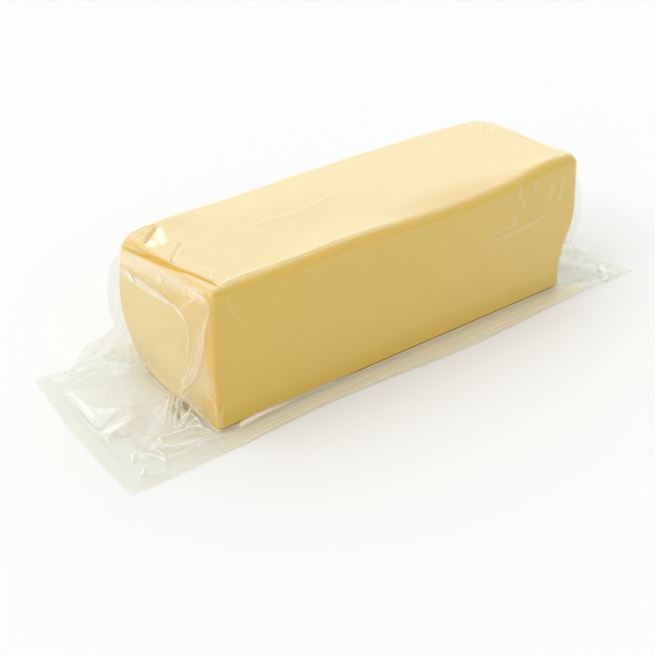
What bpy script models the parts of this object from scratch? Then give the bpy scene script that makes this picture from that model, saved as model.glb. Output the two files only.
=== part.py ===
"""A vacuum-packed block of Edam: one loaf of cheese in a clear film bag that is drawn tight round it.

Metres, +Z up. The origin is on the surface that the block lies on, under the middle of the loaf.
+X runs along the loaf from its front end to its back end, -Y is its near long side.
The film that clings to the loaf has no solid of its own. The film that stands clear of it does: the
bottom web with its hems and sealed tails, a fin at three of the upright corners, and the fourth
corner's fin, which is folded flat over the front end.
"""

import math

import bmesh
import bpy
from mathutils import Vector

# The loaf, before its faces swell and its edges round off.
LOAF_LENGTH = 0.300
LOAF_WIDTH = 0.102
LOAF_HEIGHT = 0.0955
HALF_LENGTH = LOAF_LENGTH / 2
HALF_WIDTH = LOAF_WIDTH / 2

# Edge rounding.
TOP_RADIUS = 0.0072
BOTTOM_RADIUS = 0.0028
FRONT_TOP_RADIUS = 0.0038
SLUMPED_FOOT_RADIUS = 0.0150
SLUMPED_FOOT_REACH = 0.024
FRONT_TOP_REACH = 0.012

# The pressed ends swell and are undercut at the foot. A swell is (most, height of the most, height
# over which the first millimetre is lost, least).
END_REACH = 0.045
FRONT_SWELL_NEAR = (0.0034, 0.045, 0.0270, 0.0000)
FRONT_SWELL_FAR = (0.0052, 0.056, 0.0190, -0.0006)
FRONT_PILLOW = 0.0012
BACK_UNDERCUT = 0.0090
BACK_SWELL = 0.0050
BACK_SWELL_FROM = 0.015
BACK_SWELL_OVER = 0.043
BACK_FAR_SHARE = 0.6

# Long sides and top. A dent or rise in the top is ((x, y), (reach in x, reach in y), height).
NEAR_BELLY = 0.0008
FAR_BELLY = 0.0014
NEAR_FOOT = 0.0014
NEAR_FOOT_HEIGHT = 0.030
TOP_RELIEF = (
    ((0.000, 0.034), (0.125, 0.045), 0.0024),
    ((0.129, -0.047), (0.026, 0.018), 0.0044),
    ((0.045, -0.051), (0.050, 0.016), -0.0030),
    ((-0.045, -0.048), (0.030, 0.012), 0.0010),
    ((-0.152, 0.053), (0.012, 0.012), -0.0055),
)

# The crease under the front rim. It runs from the front end's top edge on the far side to a
# place on the top, 10 mm back from that edge, on the near side.
CREASE_MIDDLE_X = -0.1502
CREASE_MIDDLE_Z = 0.0925
CREASE_FAR_SLOPE_X = -0.030
CREASE_FAR_SLOPE_Z = -0.095
CREASE_NEAR_END = 0.042
CREASE_NEAR_RUN_X = 0.0102
CREASE_NEAR_RISE_Z = 0.0034
CREASE_NEAR_POWER = 1.6
CREASE_DEPTH = 0.0030
CREASE_HALF_WIDTH = 0.0021
CREASE_ENDS = (-0.047, 0.051)

# The film.
FILM = 0.0007
GAP = 0.0003
FRONT_SEAL_X = -0.217
BACK_SEAL_X = 0.2015
FRONT_SEAL_SLANT = 0.10
FRONT_SEAL_BOW = 0.0030
BACK_SEAL_SLANT = -0.03
BACK_SEAL_NOTCH = 0.0085
BACK_SEAL_NOTCH_Y = -0.042
BACK_SEAL_NOTCH_REACH = 0.018
NEAR_HEM_Y = -0.0700
FAR_HEM_Y = 0.0745
HEM_SWAY = 0.0024
HEM_SWAY_LENGTH = 0.230
HEM_SWAY_START = -0.190
HEM_RIPPLE = 0.0008
HEM_RIPPLE_LENGTHS = (0.047, 0.083)
FLAT_MARGIN = 0.003
LIFT_MARGIN = 0.012

# Folds of the tails: (x, y) of both ends, height and half width.
TAIL_FOLDS = (
    ((-0.2030, 0.0360), (-0.1815, 0.0030), 0.0046, 0.0062),
    ((-0.1830, -0.0060), (-0.2055, -0.0140), 0.0040, 0.0050),
    ((-0.1600, -0.0120), (-0.1780, -0.0280), 0.0046, 0.0048),
    ((-0.1870, -0.0360), (-0.1560, -0.0570), 0.0040, 0.0048),
    ((-0.2000, -0.0440), (-0.1920, -0.0600), 0.0026, 0.0042),
    ((-0.1680, 0.0400), (-0.1980, 0.0560), 0.0036, 0.0070),
    ((0.1640, -0.0300), (0.1800, -0.0620), 0.0046, 0.0056),
    ((0.1660, -0.0020), (0.1930, -0.0240), 0.0040, 0.0056),
    ((0.1680, 0.0260), (0.1920, 0.0420), 0.0044, 0.0066),
    ((0.1600, 0.0600), (0.1860, 0.0640), 0.0030, 0.0060),
)

# The upright fins: the belly of film along the loaf's corner, and the flare at its foot.
FIN_TOP = 0.0820
FIN_BELLY_MIDDLE = 0.045
FIN_BELLY_REACH = 0.037
FIN_FLARE_HEIGHT = 0.032
FIN_WAVE = 0.0010
FIN_WAVE_LENGTH = 0.031
FIN_ROWS = 14
FIN_COLUMNS = 7
FINS = {
    # name: (side along X, side along Y, heading in degrees, belly, flare)
    "film_fin_front_far": (-1, 1, 150.0, 0.0097, 0.0440),
    "film_fin_back_near": (1, -1, -28.0, 0.0066, 0.0300),
    "film_fin_back_far": (1, 1, 30.0, 0.0084, 0.0340),
}

# The flap: the near front corner's fin, folded over the front end.
FLAP_TOP = 0.0850
FLAP_ROOT_Y = -0.0455
FLAP_SHOULDER_Z = 0.0640
FLAP_SHOULDER_Y = -0.0240
FLAP_FOOT_Y = -0.0080
FLAP_CLEARANCE = 0.0012
FLAP_ROWS = 12
FLAP_COLUMNS = 5

# How finely each piece is divided.
LOAF_STEP_X = 0.0200
LOAF_STEP_Y = 0.0128
LOAF_STEP_Z = 0.0120
EDGE_TURNS = (0.0, 15.0, 30.0)
CREASE_STEP = 0.0016
CREASE_CUTS = 9
TAIL_COLUMNS = 15
MIDDLE_COLUMNS = 18
BACK_TAIL_COLUMNS = 12
HEM_ROWS = 4
MIDDLE_ROWS = 10

CHEESE_COLOUR = (0.93, 0.72, 0.36, 1.0)
FILM_COLOUR = (0.86, 0.86, 0.80, 1.0)


def clamp(value, low=0.0, high=1.0):
    return max(low, min(high, value))


def smoothstep(t):
    t = clamp(t)
    return t * t * (3 - 2 * t)


def mound(x, y, centre, reach):
    """1 at the centre, falling to 0 over the reach in each direction."""
    return math.exp(-(((x - centre[0]) / reach[0]) ** 2) - ((y - centre[1]) / reach[1]) ** 2)


def clear_scene():
    for obj in list(bpy.data.objects):
        bpy.data.objects.remove(obj, do_unlink=True)


def material(name, colour, roughness, alpha=1.0):
    made = bpy.data.materials.new(name)
    made.use_nodes = True
    shader = made.node_tree.nodes["Principled BSDF"]
    shader.inputs["Base Color"].default_value = colour
    shader.inputs["Roughness"].default_value = roughness
    shader.inputs["Metallic"].default_value = 0.0
    shader.inputs["Alpha"].default_value = alpha
    made.diffuse_color = (*colour[:3], alpha)
    return made


def add_object(name, bm, collection, finish):
    """A mesh object from bm, shaded smooth, with its place in its mesh."""
    mesh = bpy.data.meshes.new(name)
    bmesh.ops.recalc_face_normals(bm, faces=bm.faces)
    bm.to_mesh(mesh)
    bm.free()
    mesh.shade_smooth()
    mesh.materials.append(finish)
    obj = bpy.data.objects.new(name, mesh)
    collection.objects.link(obj)
    return obj


def add_wall(obj, thickness, offset):
    """Gives an open sheet its thickness. Offset 1 grows it upwards only, 0 to both sides."""
    wall = obj.modifiers.new("wall", "SOLIDIFY")
    wall.thickness = thickness
    wall.offset = offset
    wall.use_even_offset = True
    wall.use_rim = True
    split = obj.modifiers.new("triangles", "TRIANGULATE")
    split.quad_method = "FIXED"


# ---- the loaf ----


def edge_radius(p):
    up = p.z / LOAF_HEIGHT
    radius = BOTTOM_RADIUS + (TOP_RADIUS - BOTTOM_RADIUS) * up
    to_front = (p.x + HALF_LENGTH) / FRONT_TOP_REACH
    radius += (FRONT_TOP_RADIUS - TOP_RADIUS) * up**6 * math.exp(-(to_front**2))
    foot = Vector((-HALF_LENGTH, HALF_WIDTH, 0.0))
    slump = math.exp(-(((p - foot).length / SLUMPED_FOOT_REACH) ** 2))
    return radius + (SLUMPED_FOOT_RADIUS - BOTTOM_RADIUS) * slump


def rounded(p):
    """A point of the plain box, moved to where the rounded box has it."""
    r = edge_radius(p)
    core = Vector(
        (
            clamp(p.x, r - HALF_LENGTH, HALF_LENGTH - r),
            clamp(p.y, r - HALF_WIDTH, HALF_WIDTH - r),
            clamp(p.z, r, LOAF_HEIGHT - r),
        )
    )
    out = p - core
    return core + out.normalized() * r if out.length > 1e-9 else p.copy()


def swell(z, most, at, fall, least):
    return max(most - 0.001 * ((z - at) / fall) ** 2, least)


def front_swell(y, z):
    far = clamp((y + HALF_WIDTH) / LOAF_WIDTH)
    near_side = swell(z, *FRONT_SWELL_NEAR)
    far_side = swell(z, *FRONT_SWELL_FAR)
    pillow = FRONT_PILLOW * (1 - (y / HALF_WIDTH) ** 2)
    return near_side + (far_side - near_side) * far + pillow


def back_swell(y, z):
    far = clamp((y + HALF_WIDTH) / LOAF_WIDTH)
    up = smoothstep((z - BACK_SWELL_FROM) / BACK_SWELL_OVER)
    depth = BACK_UNDERCUT * (1 + (BACK_FAR_SHARE - 1) * far)
    return (BACK_SWELL + depth) * up - depth


def crease_line(y):
    """(x, z) of the crease's bottom at this y."""
    if y > 0:
        return CREASE_MIDDLE_X + CREASE_FAR_SLOPE_X * y, CREASE_MIDDLE_Z + CREASE_FAR_SLOPE_Z * y
    along = clamp(-y / CREASE_NEAR_END, 0.0, 1.2)
    run = along**CREASE_NEAR_POWER
    return CREASE_MIDDLE_X + CREASE_NEAR_RUN_X * run, CREASE_MIDDLE_Z + CREASE_NEAR_RISE_Z * along


def crease_depth(p):
    near_end, far_end = CREASE_ENDS
    along = clamp((p.y - near_end) / (far_end - near_end))
    taper = math.sin(math.pi * along) ** 0.6
    x, z = crease_line(p.y)
    off = math.hypot(p.x - x, p.z - z)
    return CREASE_DEPTH * taper * math.exp(-((off / CREASE_HALF_WIDTH) ** 2))


def loaf_point(p):
    """A point of the plain box, with its underside at z = 0, moved to where the loaf has it."""
    r = rounded(p)
    up = clamp(r.z / LOAF_HEIGHT)
    front = smoothstep((END_REACH - HALF_LENGTH - r.x) / END_REACH)
    back = smoothstep((r.x - HALF_LENGTH + END_REACH) / END_REACH)
    out = Vector((back * back_swell(r.y, r.z) - front * front_swell(r.y, r.z), 0.0, 0.0))
    belly = FAR_BELLY if r.y > 0 else NEAR_BELLY
    out.y = belly * math.sin(math.pi * up) * r.y / HALF_WIDTH
    out.y -= NEAR_FOOT * clamp(-r.y / HALF_WIDTH) ** 3 * math.exp(-((r.z / NEAR_FOOT_HEIGHT) ** 2))
    for centre, reach, height in TOP_RELIEF:
        out.z += height * up**3 * mound(r.x, r.y, centre, reach)
    moved = r + out
    moved += Vector((0.7, 0.0, -0.7)) * crease_depth(moved)
    return moved + Vector((0.0, 0.0, FILM + GAP))


def cuts(low, high, step, radius):
    """Where a side is divided: evenly between its rounded edges, and at each turn of those."""
    count = round((high - low - 2 * radius) / step)
    places = [low + radius + i * (high - low - 2 * radius) / count for i in range(1, count)]
    for turn in EDGE_TURNS:
        in_edge = radius * (1 - math.tan(math.radians(turn)))
        places += [low + in_edge, high - in_edge]
    return sorted(places)


def cut(bm, faces, axis, place):
    normal = Vector((0.0, 0.0, 0.0))
    normal[axis] = 1.0
    geometry = set(faces)
    for face in faces:
        geometry.update(face.edges)
        geometry.update(face.verts)
    bmesh.ops.bisect_plane(bm, geom=list(geometry), dist=1e-7, plane_co=normal * place, plane_no=normal)


def make_loaf(collection, finish):
    bm = bmesh.new()
    bmesh.ops.create_cube(bm, size=1.0)
    bmesh.ops.translate(bm, verts=bm.verts, vec=(0.0, 0.0, 0.5))
    bmesh.ops.scale(bm, verts=bm.verts, vec=(LOAF_LENGTH, LOAF_WIDTH, LOAF_HEIGHT))
    sides = (
        (-HALF_LENGTH, HALF_LENGTH, LOAF_STEP_X),
        (-HALF_WIDTH, HALF_WIDTH, LOAF_STEP_Y),
        (0.0, LOAF_HEIGHT, LOAF_STEP_Z),
    )
    for axis, (low, high, step) in enumerate(sides):
        for place in cuts(low, high, step, TOP_RADIUS):
            cut(bm, bm.faces[:], axis, place)
    for i in range(CREASE_CUTS):
        behind = -HALF_LENGTH + (i + 0.5) * CREASE_STEP
        top = [f for f in bm.faces if f.normal.z > 0.9 and f.calc_center_median().x < behind + LOAF_STEP_X]
        cut(bm, top, 0, behind)
        under = LOAF_HEIGHT - (i + 0.5) * CREASE_STEP
        end = [f for f in bm.faces if f.normal.x < -0.9 and f.calc_center_median().z > under - LOAF_STEP_Z]
        cut(bm, end, 2, under)
    for vert in bm.verts:
        vert.co = loaf_point(vert.co.copy())
    bmesh.ops.triangulate(bm, faces=bm.faces, quad_method="BEAUTY", ngon_method="BEAUTY")
    return add_object("edam_loaf", bm, collection, finish)


# ---- the bottom web, its hems and tails ----


def ridge(x, y, start, end, height, half_width):
    """The height of a straight fold that runs from start to end."""
    run = Vector(end) - Vector(start)
    along = clamp((Vector((x, y)) - Vector(start)).dot(run) / run.length_squared)
    nearest = Vector(start) + run * along
    off = (Vector((x, y)) - nearest).length
    return height * math.exp(-((off / half_width) ** 2))


def web_lift(x, y):
    """How far the bottom web stands off the surface: not at all under the loaf, and more in its folds."""
    outside = max(abs(x) - HALF_LENGTH, abs(y) - HALF_WIDTH)
    free = smoothstep((outside - FLAT_MARGIN) / LIFT_MARGIN)
    if free == 0:
        return 0.0
    lift = sum(ridge(x, y, *fold) for fold in TAIL_FOLDS)
    for length in HEM_RIPPLE_LENGTHS:
        lift += HEM_RIPPLE * (1 + math.sin(2 * math.pi * (x + 0.7 * y) / length))
    return free * lift


def web_point(x, y):
    """A point of the plain rectangle, moved to where the bag's uneven edges have it."""
    sway = HEM_SWAY * math.cos(2 * math.pi * (x - HEM_SWAY_START) / HEM_SWAY_LENGTH)
    across = clamp(abs(y) / abs(NEAR_HEM_Y))
    y -= sway * across**3
    slant = FRONT_SEAL_SLANT if x < 0 else BACK_SEAL_SLANT
    in_tail = clamp((abs(x) - HALF_LENGTH) / (abs(FRONT_SEAL_X) - HALF_LENGTH))
    if x < 0:
        x -= FRONT_SEAL_BOW * in_tail * math.cos(math.pi * y / (FAR_HEM_Y - NEAR_HEM_Y))
    else:
        from_notch = (y - BACK_SEAL_NOTCH_Y) / BACK_SEAL_NOTCH_REACH
        x -= BACK_SEAL_NOTCH * in_tail * math.exp(-(from_notch**2))
    x += slant * y * in_tail
    return Vector((x, y, web_lift(x, y)))


def spread(share, stops, columns):
    """A place along stops for a share from 0 to 1, with so many equal columns between each two."""
    place = share * sum(columns)
    for low, high, count in zip(stops, stops[1:], columns):
        if place <= count + 1e-6:
            return low + (high - low) * place / count
        place -= count
    return stops[-1]


def make_bottom_web(collection, finish):
    columns = (TAIL_COLUMNS, MIDDLE_COLUMNS, BACK_TAIL_COLUMNS)
    rows = (HEM_ROWS, MIDDLE_ROWS, HEM_ROWS)
    bm = bmesh.new()
    bmesh.ops.create_grid(bm, x_segments=sum(columns), y_segments=sum(rows), size=0.5)
    for vert in bm.verts:
        x = spread(vert.co.x + 0.5, (FRONT_SEAL_X, -HALF_LENGTH, HALF_LENGTH, BACK_SEAL_X), columns)
        y = spread(vert.co.y + 0.5, (NEAR_HEM_Y, -HALF_WIDTH, HALF_WIDTH, FAR_HEM_Y), rows)
        vert.co = web_point(x, y)
    obj = add_object("film_bottom_web", bm, collection, finish)
    add_wall(obj, FILM, 1.0)
    return obj


# ---- the fins and the flap ----


def above_web(x, y, z, top):
    """The height z, squeezed between the bottom web and the top so that nothing sinks into the web."""
    low = web_lift(x, y) + FILM + 2 * GAP
    return low + z * (top - low) / top


def fin_width(z, belly, flare):
    """How far a fin stands out at this height."""
    from_middle = (z - FIN_BELLY_MIDDLE) / FIN_BELLY_REACH
    upright = belly * math.sqrt(max(1 - from_middle**2, 0.0))
    return upright + flare * (1 - smoothstep(z / FIN_FLARE_HEIGHT)) + FILM


def make_fin(name, collection, finish):
    side_x, side_y, heading, belly, flare = FINS[name]
    turn = math.radians(heading)
    outward = Vector((math.cos(turn), math.sin(turn), 0.0))
    across = Vector((-outward.y, outward.x, 0.0))
    clear = FILM / 2 + 3 * GAP
    bm = bmesh.new()
    bmesh.ops.create_grid(bm, x_segments=FIN_COLUMNS, y_segments=FIN_ROWS, size=0.5)
    for vert in bm.verts:
        share, z = vert.co.x + 0.5, (vert.co.y + 0.5) * FIN_TOP
        corner = loaf_point(Vector((side_x * HALF_LENGTH, side_y * HALF_WIDTH, z)))
        place = corner + outward * (clear + share * fin_width(z, belly, flare))
        wave = math.sin(2 * math.pi * (z + place.x) / FIN_WAVE_LENGTH)
        place += across * FIN_WAVE * share * wave
        place.z = above_web(place.x, place.y, z, FIN_TOP)
        vert.co = place
    obj = add_object(name, bm, collection, finish)
    add_wall(obj, FILM, 0.0)
    return obj


def flap_edge(z):
    """The y of the flap's free edge at this height: out to the shoulder, then down to the foot."""
    if z > FLAP_SHOULDER_Z:
        along = (FLAP_TOP - z) / (FLAP_TOP - FLAP_SHOULDER_Z)
        return FLAP_ROOT_Y + (FLAP_SHOULDER_Y - FLAP_ROOT_Y) * along
    along = 1 - z / FLAP_SHOULDER_Z
    return FLAP_SHOULDER_Y + (FLAP_FOOT_Y - FLAP_SHOULDER_Y) * along**3


def make_flap(collection, finish):
    bm = bmesh.new()
    bmesh.ops.create_grid(bm, x_segments=FLAP_COLUMNS, y_segments=FLAP_ROWS, size=0.5)
    for vert in bm.verts:
        z = (vert.co.y + 0.5) * FLAP_TOP
        edge = max(flap_edge(z), FLAP_ROOT_Y + FILM)
        y = FLAP_ROOT_Y + (edge - FLAP_ROOT_Y) * (vert.co.x + 0.5)
        place = loaf_point(Vector((-HALF_LENGTH, y, z)))
        place.x -= FLAP_CLEARANCE
        place.z = above_web(place.x, place.y, z, FLAP_TOP)
        vert.co = place
    obj = add_object("film_flap_front", bm, collection, finish)
    add_wall(obj, FILM, 0.0)
    return obj


def main():
    clear_scene()
    collection = bpy.data.collections.new("vacuum_packed_edam_block")
    bpy.context.scene.collection.children.link(collection)
    cheese = material("young_edam", CHEESE_COLOUR, 0.45)
    film = material("clear_film", FILM_COLOUR, 0.12, alpha=0.4)
    make_loaf(collection, cheese)
    make_bottom_web(collection, film)
    for name in FINS:
        make_fin(name, collection, film)
    make_flap(collection, film)


main()
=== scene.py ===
"""The looks of a vacuum-packed block of Edam: the cheese, and the clear film bag drawn tight round it.

Metres, +Z up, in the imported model's frame: +X runs along the loaf from its front end to its back end,
-Y is its near long side. Lists of folds are in millimetres, as on a drawing, and MM turns them to metres.
"""

import math

import bmesh
import bpy
import numpy as np
from mathutils import Matrix, Vector

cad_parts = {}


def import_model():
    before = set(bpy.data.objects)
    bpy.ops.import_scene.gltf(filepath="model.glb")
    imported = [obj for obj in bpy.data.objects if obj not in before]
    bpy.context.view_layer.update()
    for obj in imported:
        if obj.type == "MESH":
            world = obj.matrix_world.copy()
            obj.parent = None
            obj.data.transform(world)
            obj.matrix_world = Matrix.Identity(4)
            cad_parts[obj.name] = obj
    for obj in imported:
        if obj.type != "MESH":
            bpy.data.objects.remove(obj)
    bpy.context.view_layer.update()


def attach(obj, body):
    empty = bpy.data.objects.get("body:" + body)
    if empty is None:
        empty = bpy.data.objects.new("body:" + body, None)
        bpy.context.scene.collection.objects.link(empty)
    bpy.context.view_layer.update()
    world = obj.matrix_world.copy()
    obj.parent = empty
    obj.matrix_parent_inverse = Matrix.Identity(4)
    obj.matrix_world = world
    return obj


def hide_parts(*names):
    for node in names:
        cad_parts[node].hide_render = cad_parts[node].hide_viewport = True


MM = 0.001
TINY = 1e-12
NO_LENGTH = 1e-9

# ---- the camera, the light and the floor ----

CAMERA_PLACE = (-0.52773, -0.65246, 0.49439)
CAMERA_AZIMUTH = -37.504
CAMERA_ELEVATION = 30.746
CAMERA_ROLL = -0.652
CAMERA_LENS = 77.954
CAMERA_SENSOR = 36.0

# The studio is white all round, and brighter behind the loaf and above it.
STUDIO_LEVEL = 0.65
STUDIO_BACK_LEVEL = 0.68
STUDIO_BACK_ONSET = 2
STUDIO_BACK = (0.47, 0.68, 0.56)
STUDIO_WHITE = (1.0, 1.0, 1.0, 1.0)
STUDIO_TINT = (0.94, 1.0, 0.99, 1.0)
FLOOR_SIZE = 14.0
FLOOR_COLOUR = (0.85, 0.85, 0.85)

# name: (direction that the light comes from, strength, angle in degrees)
LIGHTS = {
    "overhead_softbox": ((-0.45, 0.30, 0.84), 0.70, 50.0),
    "left_lamp": ((-0.80, 0.05, 0.60), 0.20, 9.0),
    "front_fill": ((-0.55, -0.80, 0.24), 0.45, 80.0),
    "end_fill": ((-0.95, -0.05, 0.30), 0.395, 70.0),
}

# ---- the loaf: the same driving sizes as the solid's ----

LOAF = (0.300, 0.102, 0.0955)
HALF_LENGTH = LOAF[0] / 2
HALF_WIDTH = LOAF[1] / 2
LOAF_HEIGHT = LOAF[2]
LOAF_FOOT = 0.0010

TOP_RADIUS = 0.0072
BOTTOM_RADIUS = 0.0028
FRONT_TOP_RADIUS = 0.0038
FRONT_TOP_REACH = 0.012
FRONT_TOP_ONSET = 6
SLUMPED_FOOT_RADIUS = 0.0150
SLUMPED_FOOT_REACH = 0.024
# The two far top corners are blunter: (side along X, extra radius, reach).
BLUNT_CORNERS = ((-1, 0.0045, 0.012), (1, 0.0075, 0.021))

END_REACH = 0.045
FRONT_SWELL_NEAR = (0.0034, 0.045, 0.0270, 0.0000)
FRONT_SWELL_FAR = (0.0052, 0.056, 0.0190, -0.0006)
FRONT_PILLOW = 0.0012
BACK_UNDERCUT = 0.0090
BACK_SWELL = 0.0050
BACK_SWELL_FROM = 0.015
BACK_SWELL_OVER = 0.043
BACK_FAR_SHARE = 0.6

NEAR_BELLY = 0.0008
FAR_BELLY = 0.0014
NEAR_FOOT = 0.0014
NEAR_FOOT_HEIGHT = 0.030
NEAR_FOOT_ONSET = 3
# Low swellings and hollows of the top: (middle (x, y), reach (x, y), height).
RELIEF_ONSET = 3
TOP_RELIEF = (
    ((0.000, 0.034), (0.125, 0.045), 0.0030),
    ((-0.118, 0.052), (0.026, 0.018), 0.0016),
    ((0.150, -0.022), (0.022, 0.016), 0.0006),
    ((0.129, -0.047), (0.026, 0.018), 0.0044),
    ((0.045, -0.051), (0.050, 0.016), -0.0030),
    ((-0.045, -0.048), (0.030, 0.012), 0.0010),
    ((-0.152, 0.053), (0.010, 0.010), -0.0016),
)

# The crease under the top edge of the front end, from far to near: (y, x, z, half width), in millimetres.
CREASE_LINE = (
    (51.0, -151.8, 87.8, 0.3),
    (45.6, -152.0, 88.4, 0.7),
    (41.4, -152.3, 88.9, 0.9),
    (32.4, -152.4, 90.5, 1.1),
    (23.3, -152.3, 92.0, 1.3),
    (12.6, -151.6, 93.7, 1.6),
    (2.4, -150.7, 94.7, 1.85),
    (-7.5, -149.8, 95.2, 1.5),
    (-15.2, -147.9, 95.6, 1.5),
    (-22.0, -145.5, 95.6, 1.3),
    (-30.1, -143.8, 95.6, 1.3),
    (-38.6, -142.3, 95.6, 1.2),
    (-46.3, -141.7, 95.5, 0.4),
)
CREASE_FLATNESS = 3.0
# The way that the crease goes in, and how deep it is for its half width in the cheese and in the film.
CREASE_INWARD = (0.62, 0.0, -0.78)
CHEESE_CREASE = 1.6
FILM_CREASE = 1.2
# The painted shade in the crease: how wide it is for the crease's width, and (y, how strong it is there).
CREASE_SHADE_WIDTH = 1.05
CREASE_SHADE = ((-0.042, 0.25), (-0.016, 0.45), (0.000, 0.85), (0.022, 1.00), (0.040, 0.50))
# The lip of the film that bulges out just below the crease.
LIP_BULGE = 0.0009
LIP_BELOW = 0.0034
LIP_REACH = 0.0024
LIP_FULL_WIDTH = 0.0014
# How far the cheese's surface lies under the film's.
CHEESE_UNDER_FILM = 0.0005

# ---- the bag: the same driving sizes as the solids' ----

# Where its ends are sealed and how they slant, and how its long edges, the hems, run.
FRONT_SEAL_X = -0.217
BACK_SEAL_X = 0.2015
FRONT_SEAL_SLANT = 0.10
FRONT_SEAL_BOW = 0.0030
BACK_SEAL_SLANT = -0.03
BACK_SEAL_NOTCH = 0.0085
BACK_SEAL_NOTCH_Y = -0.042
BACK_SEAL_NOTCH_REACH = 0.018
NEAR_HEM_Y = -0.0700
FAR_HEM_Y = 0.0745
HEM_SWAY = 0.0024
HEM_SWAY_LENGTH = 0.230
HEM_SWAY_START = -0.190
HEM_SWAY_ONSET = 3
HEM_RIPPLE = 0.0008
HEM_RIPPLE_LENGTHS = (0.047, 0.083)
HEM_RIPPLE_SLANT = 0.7
# The flat part lies flat this far from the loaf, and lifts freely this much further out.
FLAT_MARGIN = 0.003
LIFT_MARGIN = 0.012
SEAL_BAND = 0.0095
SEAL_EDGE = 0.0012

# The two webs: their columns and rows over the tails and the loaf, how high the folds lift them, and how
# milky they are in the seals. The seals press the upper web down on the lower one.
LOWER_WEB_COLUMNS = (34, 75, 26)
LOWER_WEB_ROWS = (10, 34, 12)
LOWER_WEB_FLOOR = 0.0002
LOWER_WEB_LIFT = 0.25
LOWER_SEAL_MILK = 0.03
UPPER_WEB_COLUMNS = (140, 150, 60)
UPPER_WEB_ROWS = (28, 160, 28)
UPPER_WEB_GAP = 0.0006
UPPER_WEB_LIFT = 0.5
UPPER_SEAL_MILK = 0.04
SEAL_FLATTENS = 0.75
SEAL_CLOSES = 0.6

# The broad folds of the tails: (x, y) of both ends, height and half width.
TAIL_FOLDS = (
    ((-0.2030, 0.0360), (-0.1815, 0.0030), 0.0046, 0.0062),
    ((-0.1830, -0.0060), (-0.2055, -0.0140), 0.0040, 0.0050),
    ((-0.1600, -0.0120), (-0.1780, -0.0280), 0.0046, 0.0048),
    ((-0.1870, -0.0360), (-0.1560, -0.0570), 0.0040, 0.0048),
    ((-0.2000, -0.0440), (-0.1920, -0.0600), 0.0026, 0.0042),
    ((-0.1680, 0.0400), (-0.1980, 0.0560), 0.0036, 0.0070),
    ((0.1640, -0.0300), (0.1800, -0.0620), 0.0046, 0.0056),
    ((0.1660, -0.0020), (0.1930, -0.0240), 0.0040, 0.0056),
    ((0.1680, 0.0260), (0.1920, 0.0420), 0.0044, 0.0066),
    ((0.1600, 0.0600), (0.1860, 0.0640), 0.0030, 0.0060),
)

# The film that stands at three corners of the loaf, and flares out at their feet.
FIN_TOP = 0.0820
FIN_BELLY_MIDDLE = 0.045
FIN_BELLY_REACH = 0.037
FIN_FLARE_HEIGHT = 0.032
FIN_LEAST = 0.0007
FIN_COLUMNS = 34
FIN_ROWS = 90
FIN_SUNK = 0.0006
FIN_ABOVE_WEB = 0.0013
# The fins' waves: (length, lean, share of the height), and that height for the fin and for its flare.
FIN_WAVES = ((0.031, 1.0, 1.0), (0.013, -1.4, 0.5))
FIN_WAVE = 0.0003
FLARE_WAVE = 0.0010
# A painted highlight along each fin's free rim.
FIN_RIM_HIGHLIGHT = 0.10
FIN_RIM_NARROWNESS = 14
FINS = {
    # name: (CAD node, side along X, side along Y, heading in degrees, belly, flare, how streaked it is)
    "loose_film_front_far": ("film_fin_front_far", -1, 1, 150.0, 0.0082, 0.0440, 1.0),
    "loose_film_back_near": ("film_fin_back_near", 1, -1, -28.0, 0.0048, 0.0300, 0.4),
    "loose_film_back_far": ("film_fin_back_far", 1, 1, 30.0, 0.0084, 0.0340, 0.7),
}

# The film that is folded flat over the front end: its free edge runs from the top out to the shoulder, and
# down to the foot.
FLAP_TOP = 0.0850
FLAP_ROOT_Y = -0.0455
FLAP_SHOULDER_Z = 0.0640
FLAP_SHOULDER_Y = -0.0240
FLAP_FOOT_Y = -0.0080
FLAP_FOOT_ONSET = 3
FLAP_COLUMNS = 56
FLAP_ROWS = 110
FLAP_PAST_ROOT = 0.004
FLAP_LEAST = 0.0007
FLAP_OFF_SKIN = 0.0008


# ---- numbers over many points at once ----


def smoothstep(t):
    t = np.clip(t, 0.0, 1.0)
    return t * t * (3 - 2 * t)


def spread(share, stops, counts):
    """Places along stops for shares from 0 to 1, with so many equal steps between each two stops."""
    return np.interp(share * sum(counts), np.concatenate(([0], np.cumsum(counts))), stops)


def curve_through(points, per_span=6):
    """A smooth path through points given in millimetres, as points in metres."""
    p = np.array(points, float) * MM
    p = np.vstack((2 * p[0] - p[1], p, 2 * p[-1] - p[-2]))
    t = np.linspace(0.0, 1.0, per_span, endpoint=False)[:, None]
    spans = [
        0.5
        * (
            2 * b
            + (c - a) * t
            + (2 * a - 5 * b + 4 * c - d) * t**2
            + (3 * b - a - 3 * c + d) * t**3
        )
        for a, b, c, d in zip(p, p[1:], p[2:], p[3:])
    ]
    return np.vstack(spans + [p[-2][None, :]])


def nearest_on_path(u, v, path):
    """For points (u, v): how far off the path, on which side of it, and how far along it from 0 to 1."""
    best = np.full(len(u), np.inf)
    side = np.zeros(len(u))
    along = np.zeros(len(u))
    steps = np.diff(path, axis=0)
    lengths = np.hypot(steps[:, 0], steps[:, 1])
    starts = np.concatenate(([0], np.cumsum(lengths)))
    for start, step, length, done in zip(path, steps, lengths, starts):
        du = u - start[0]
        dv = v - start[1]
        t = np.clip((du * step[0] + dv * step[1]) / max(length**2, TINY), 0, 1)
        off = np.hypot(du - t * step[0], dv - t * step[1])
        closer = off < best
        best = np.where(closer, off, best)
        side = np.where(closer, np.sign(step[0] * dv - step[1] * du), side)
        along = np.where(closer, (done + t * length) / starts[-1], along)
    return best, side, along


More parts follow.
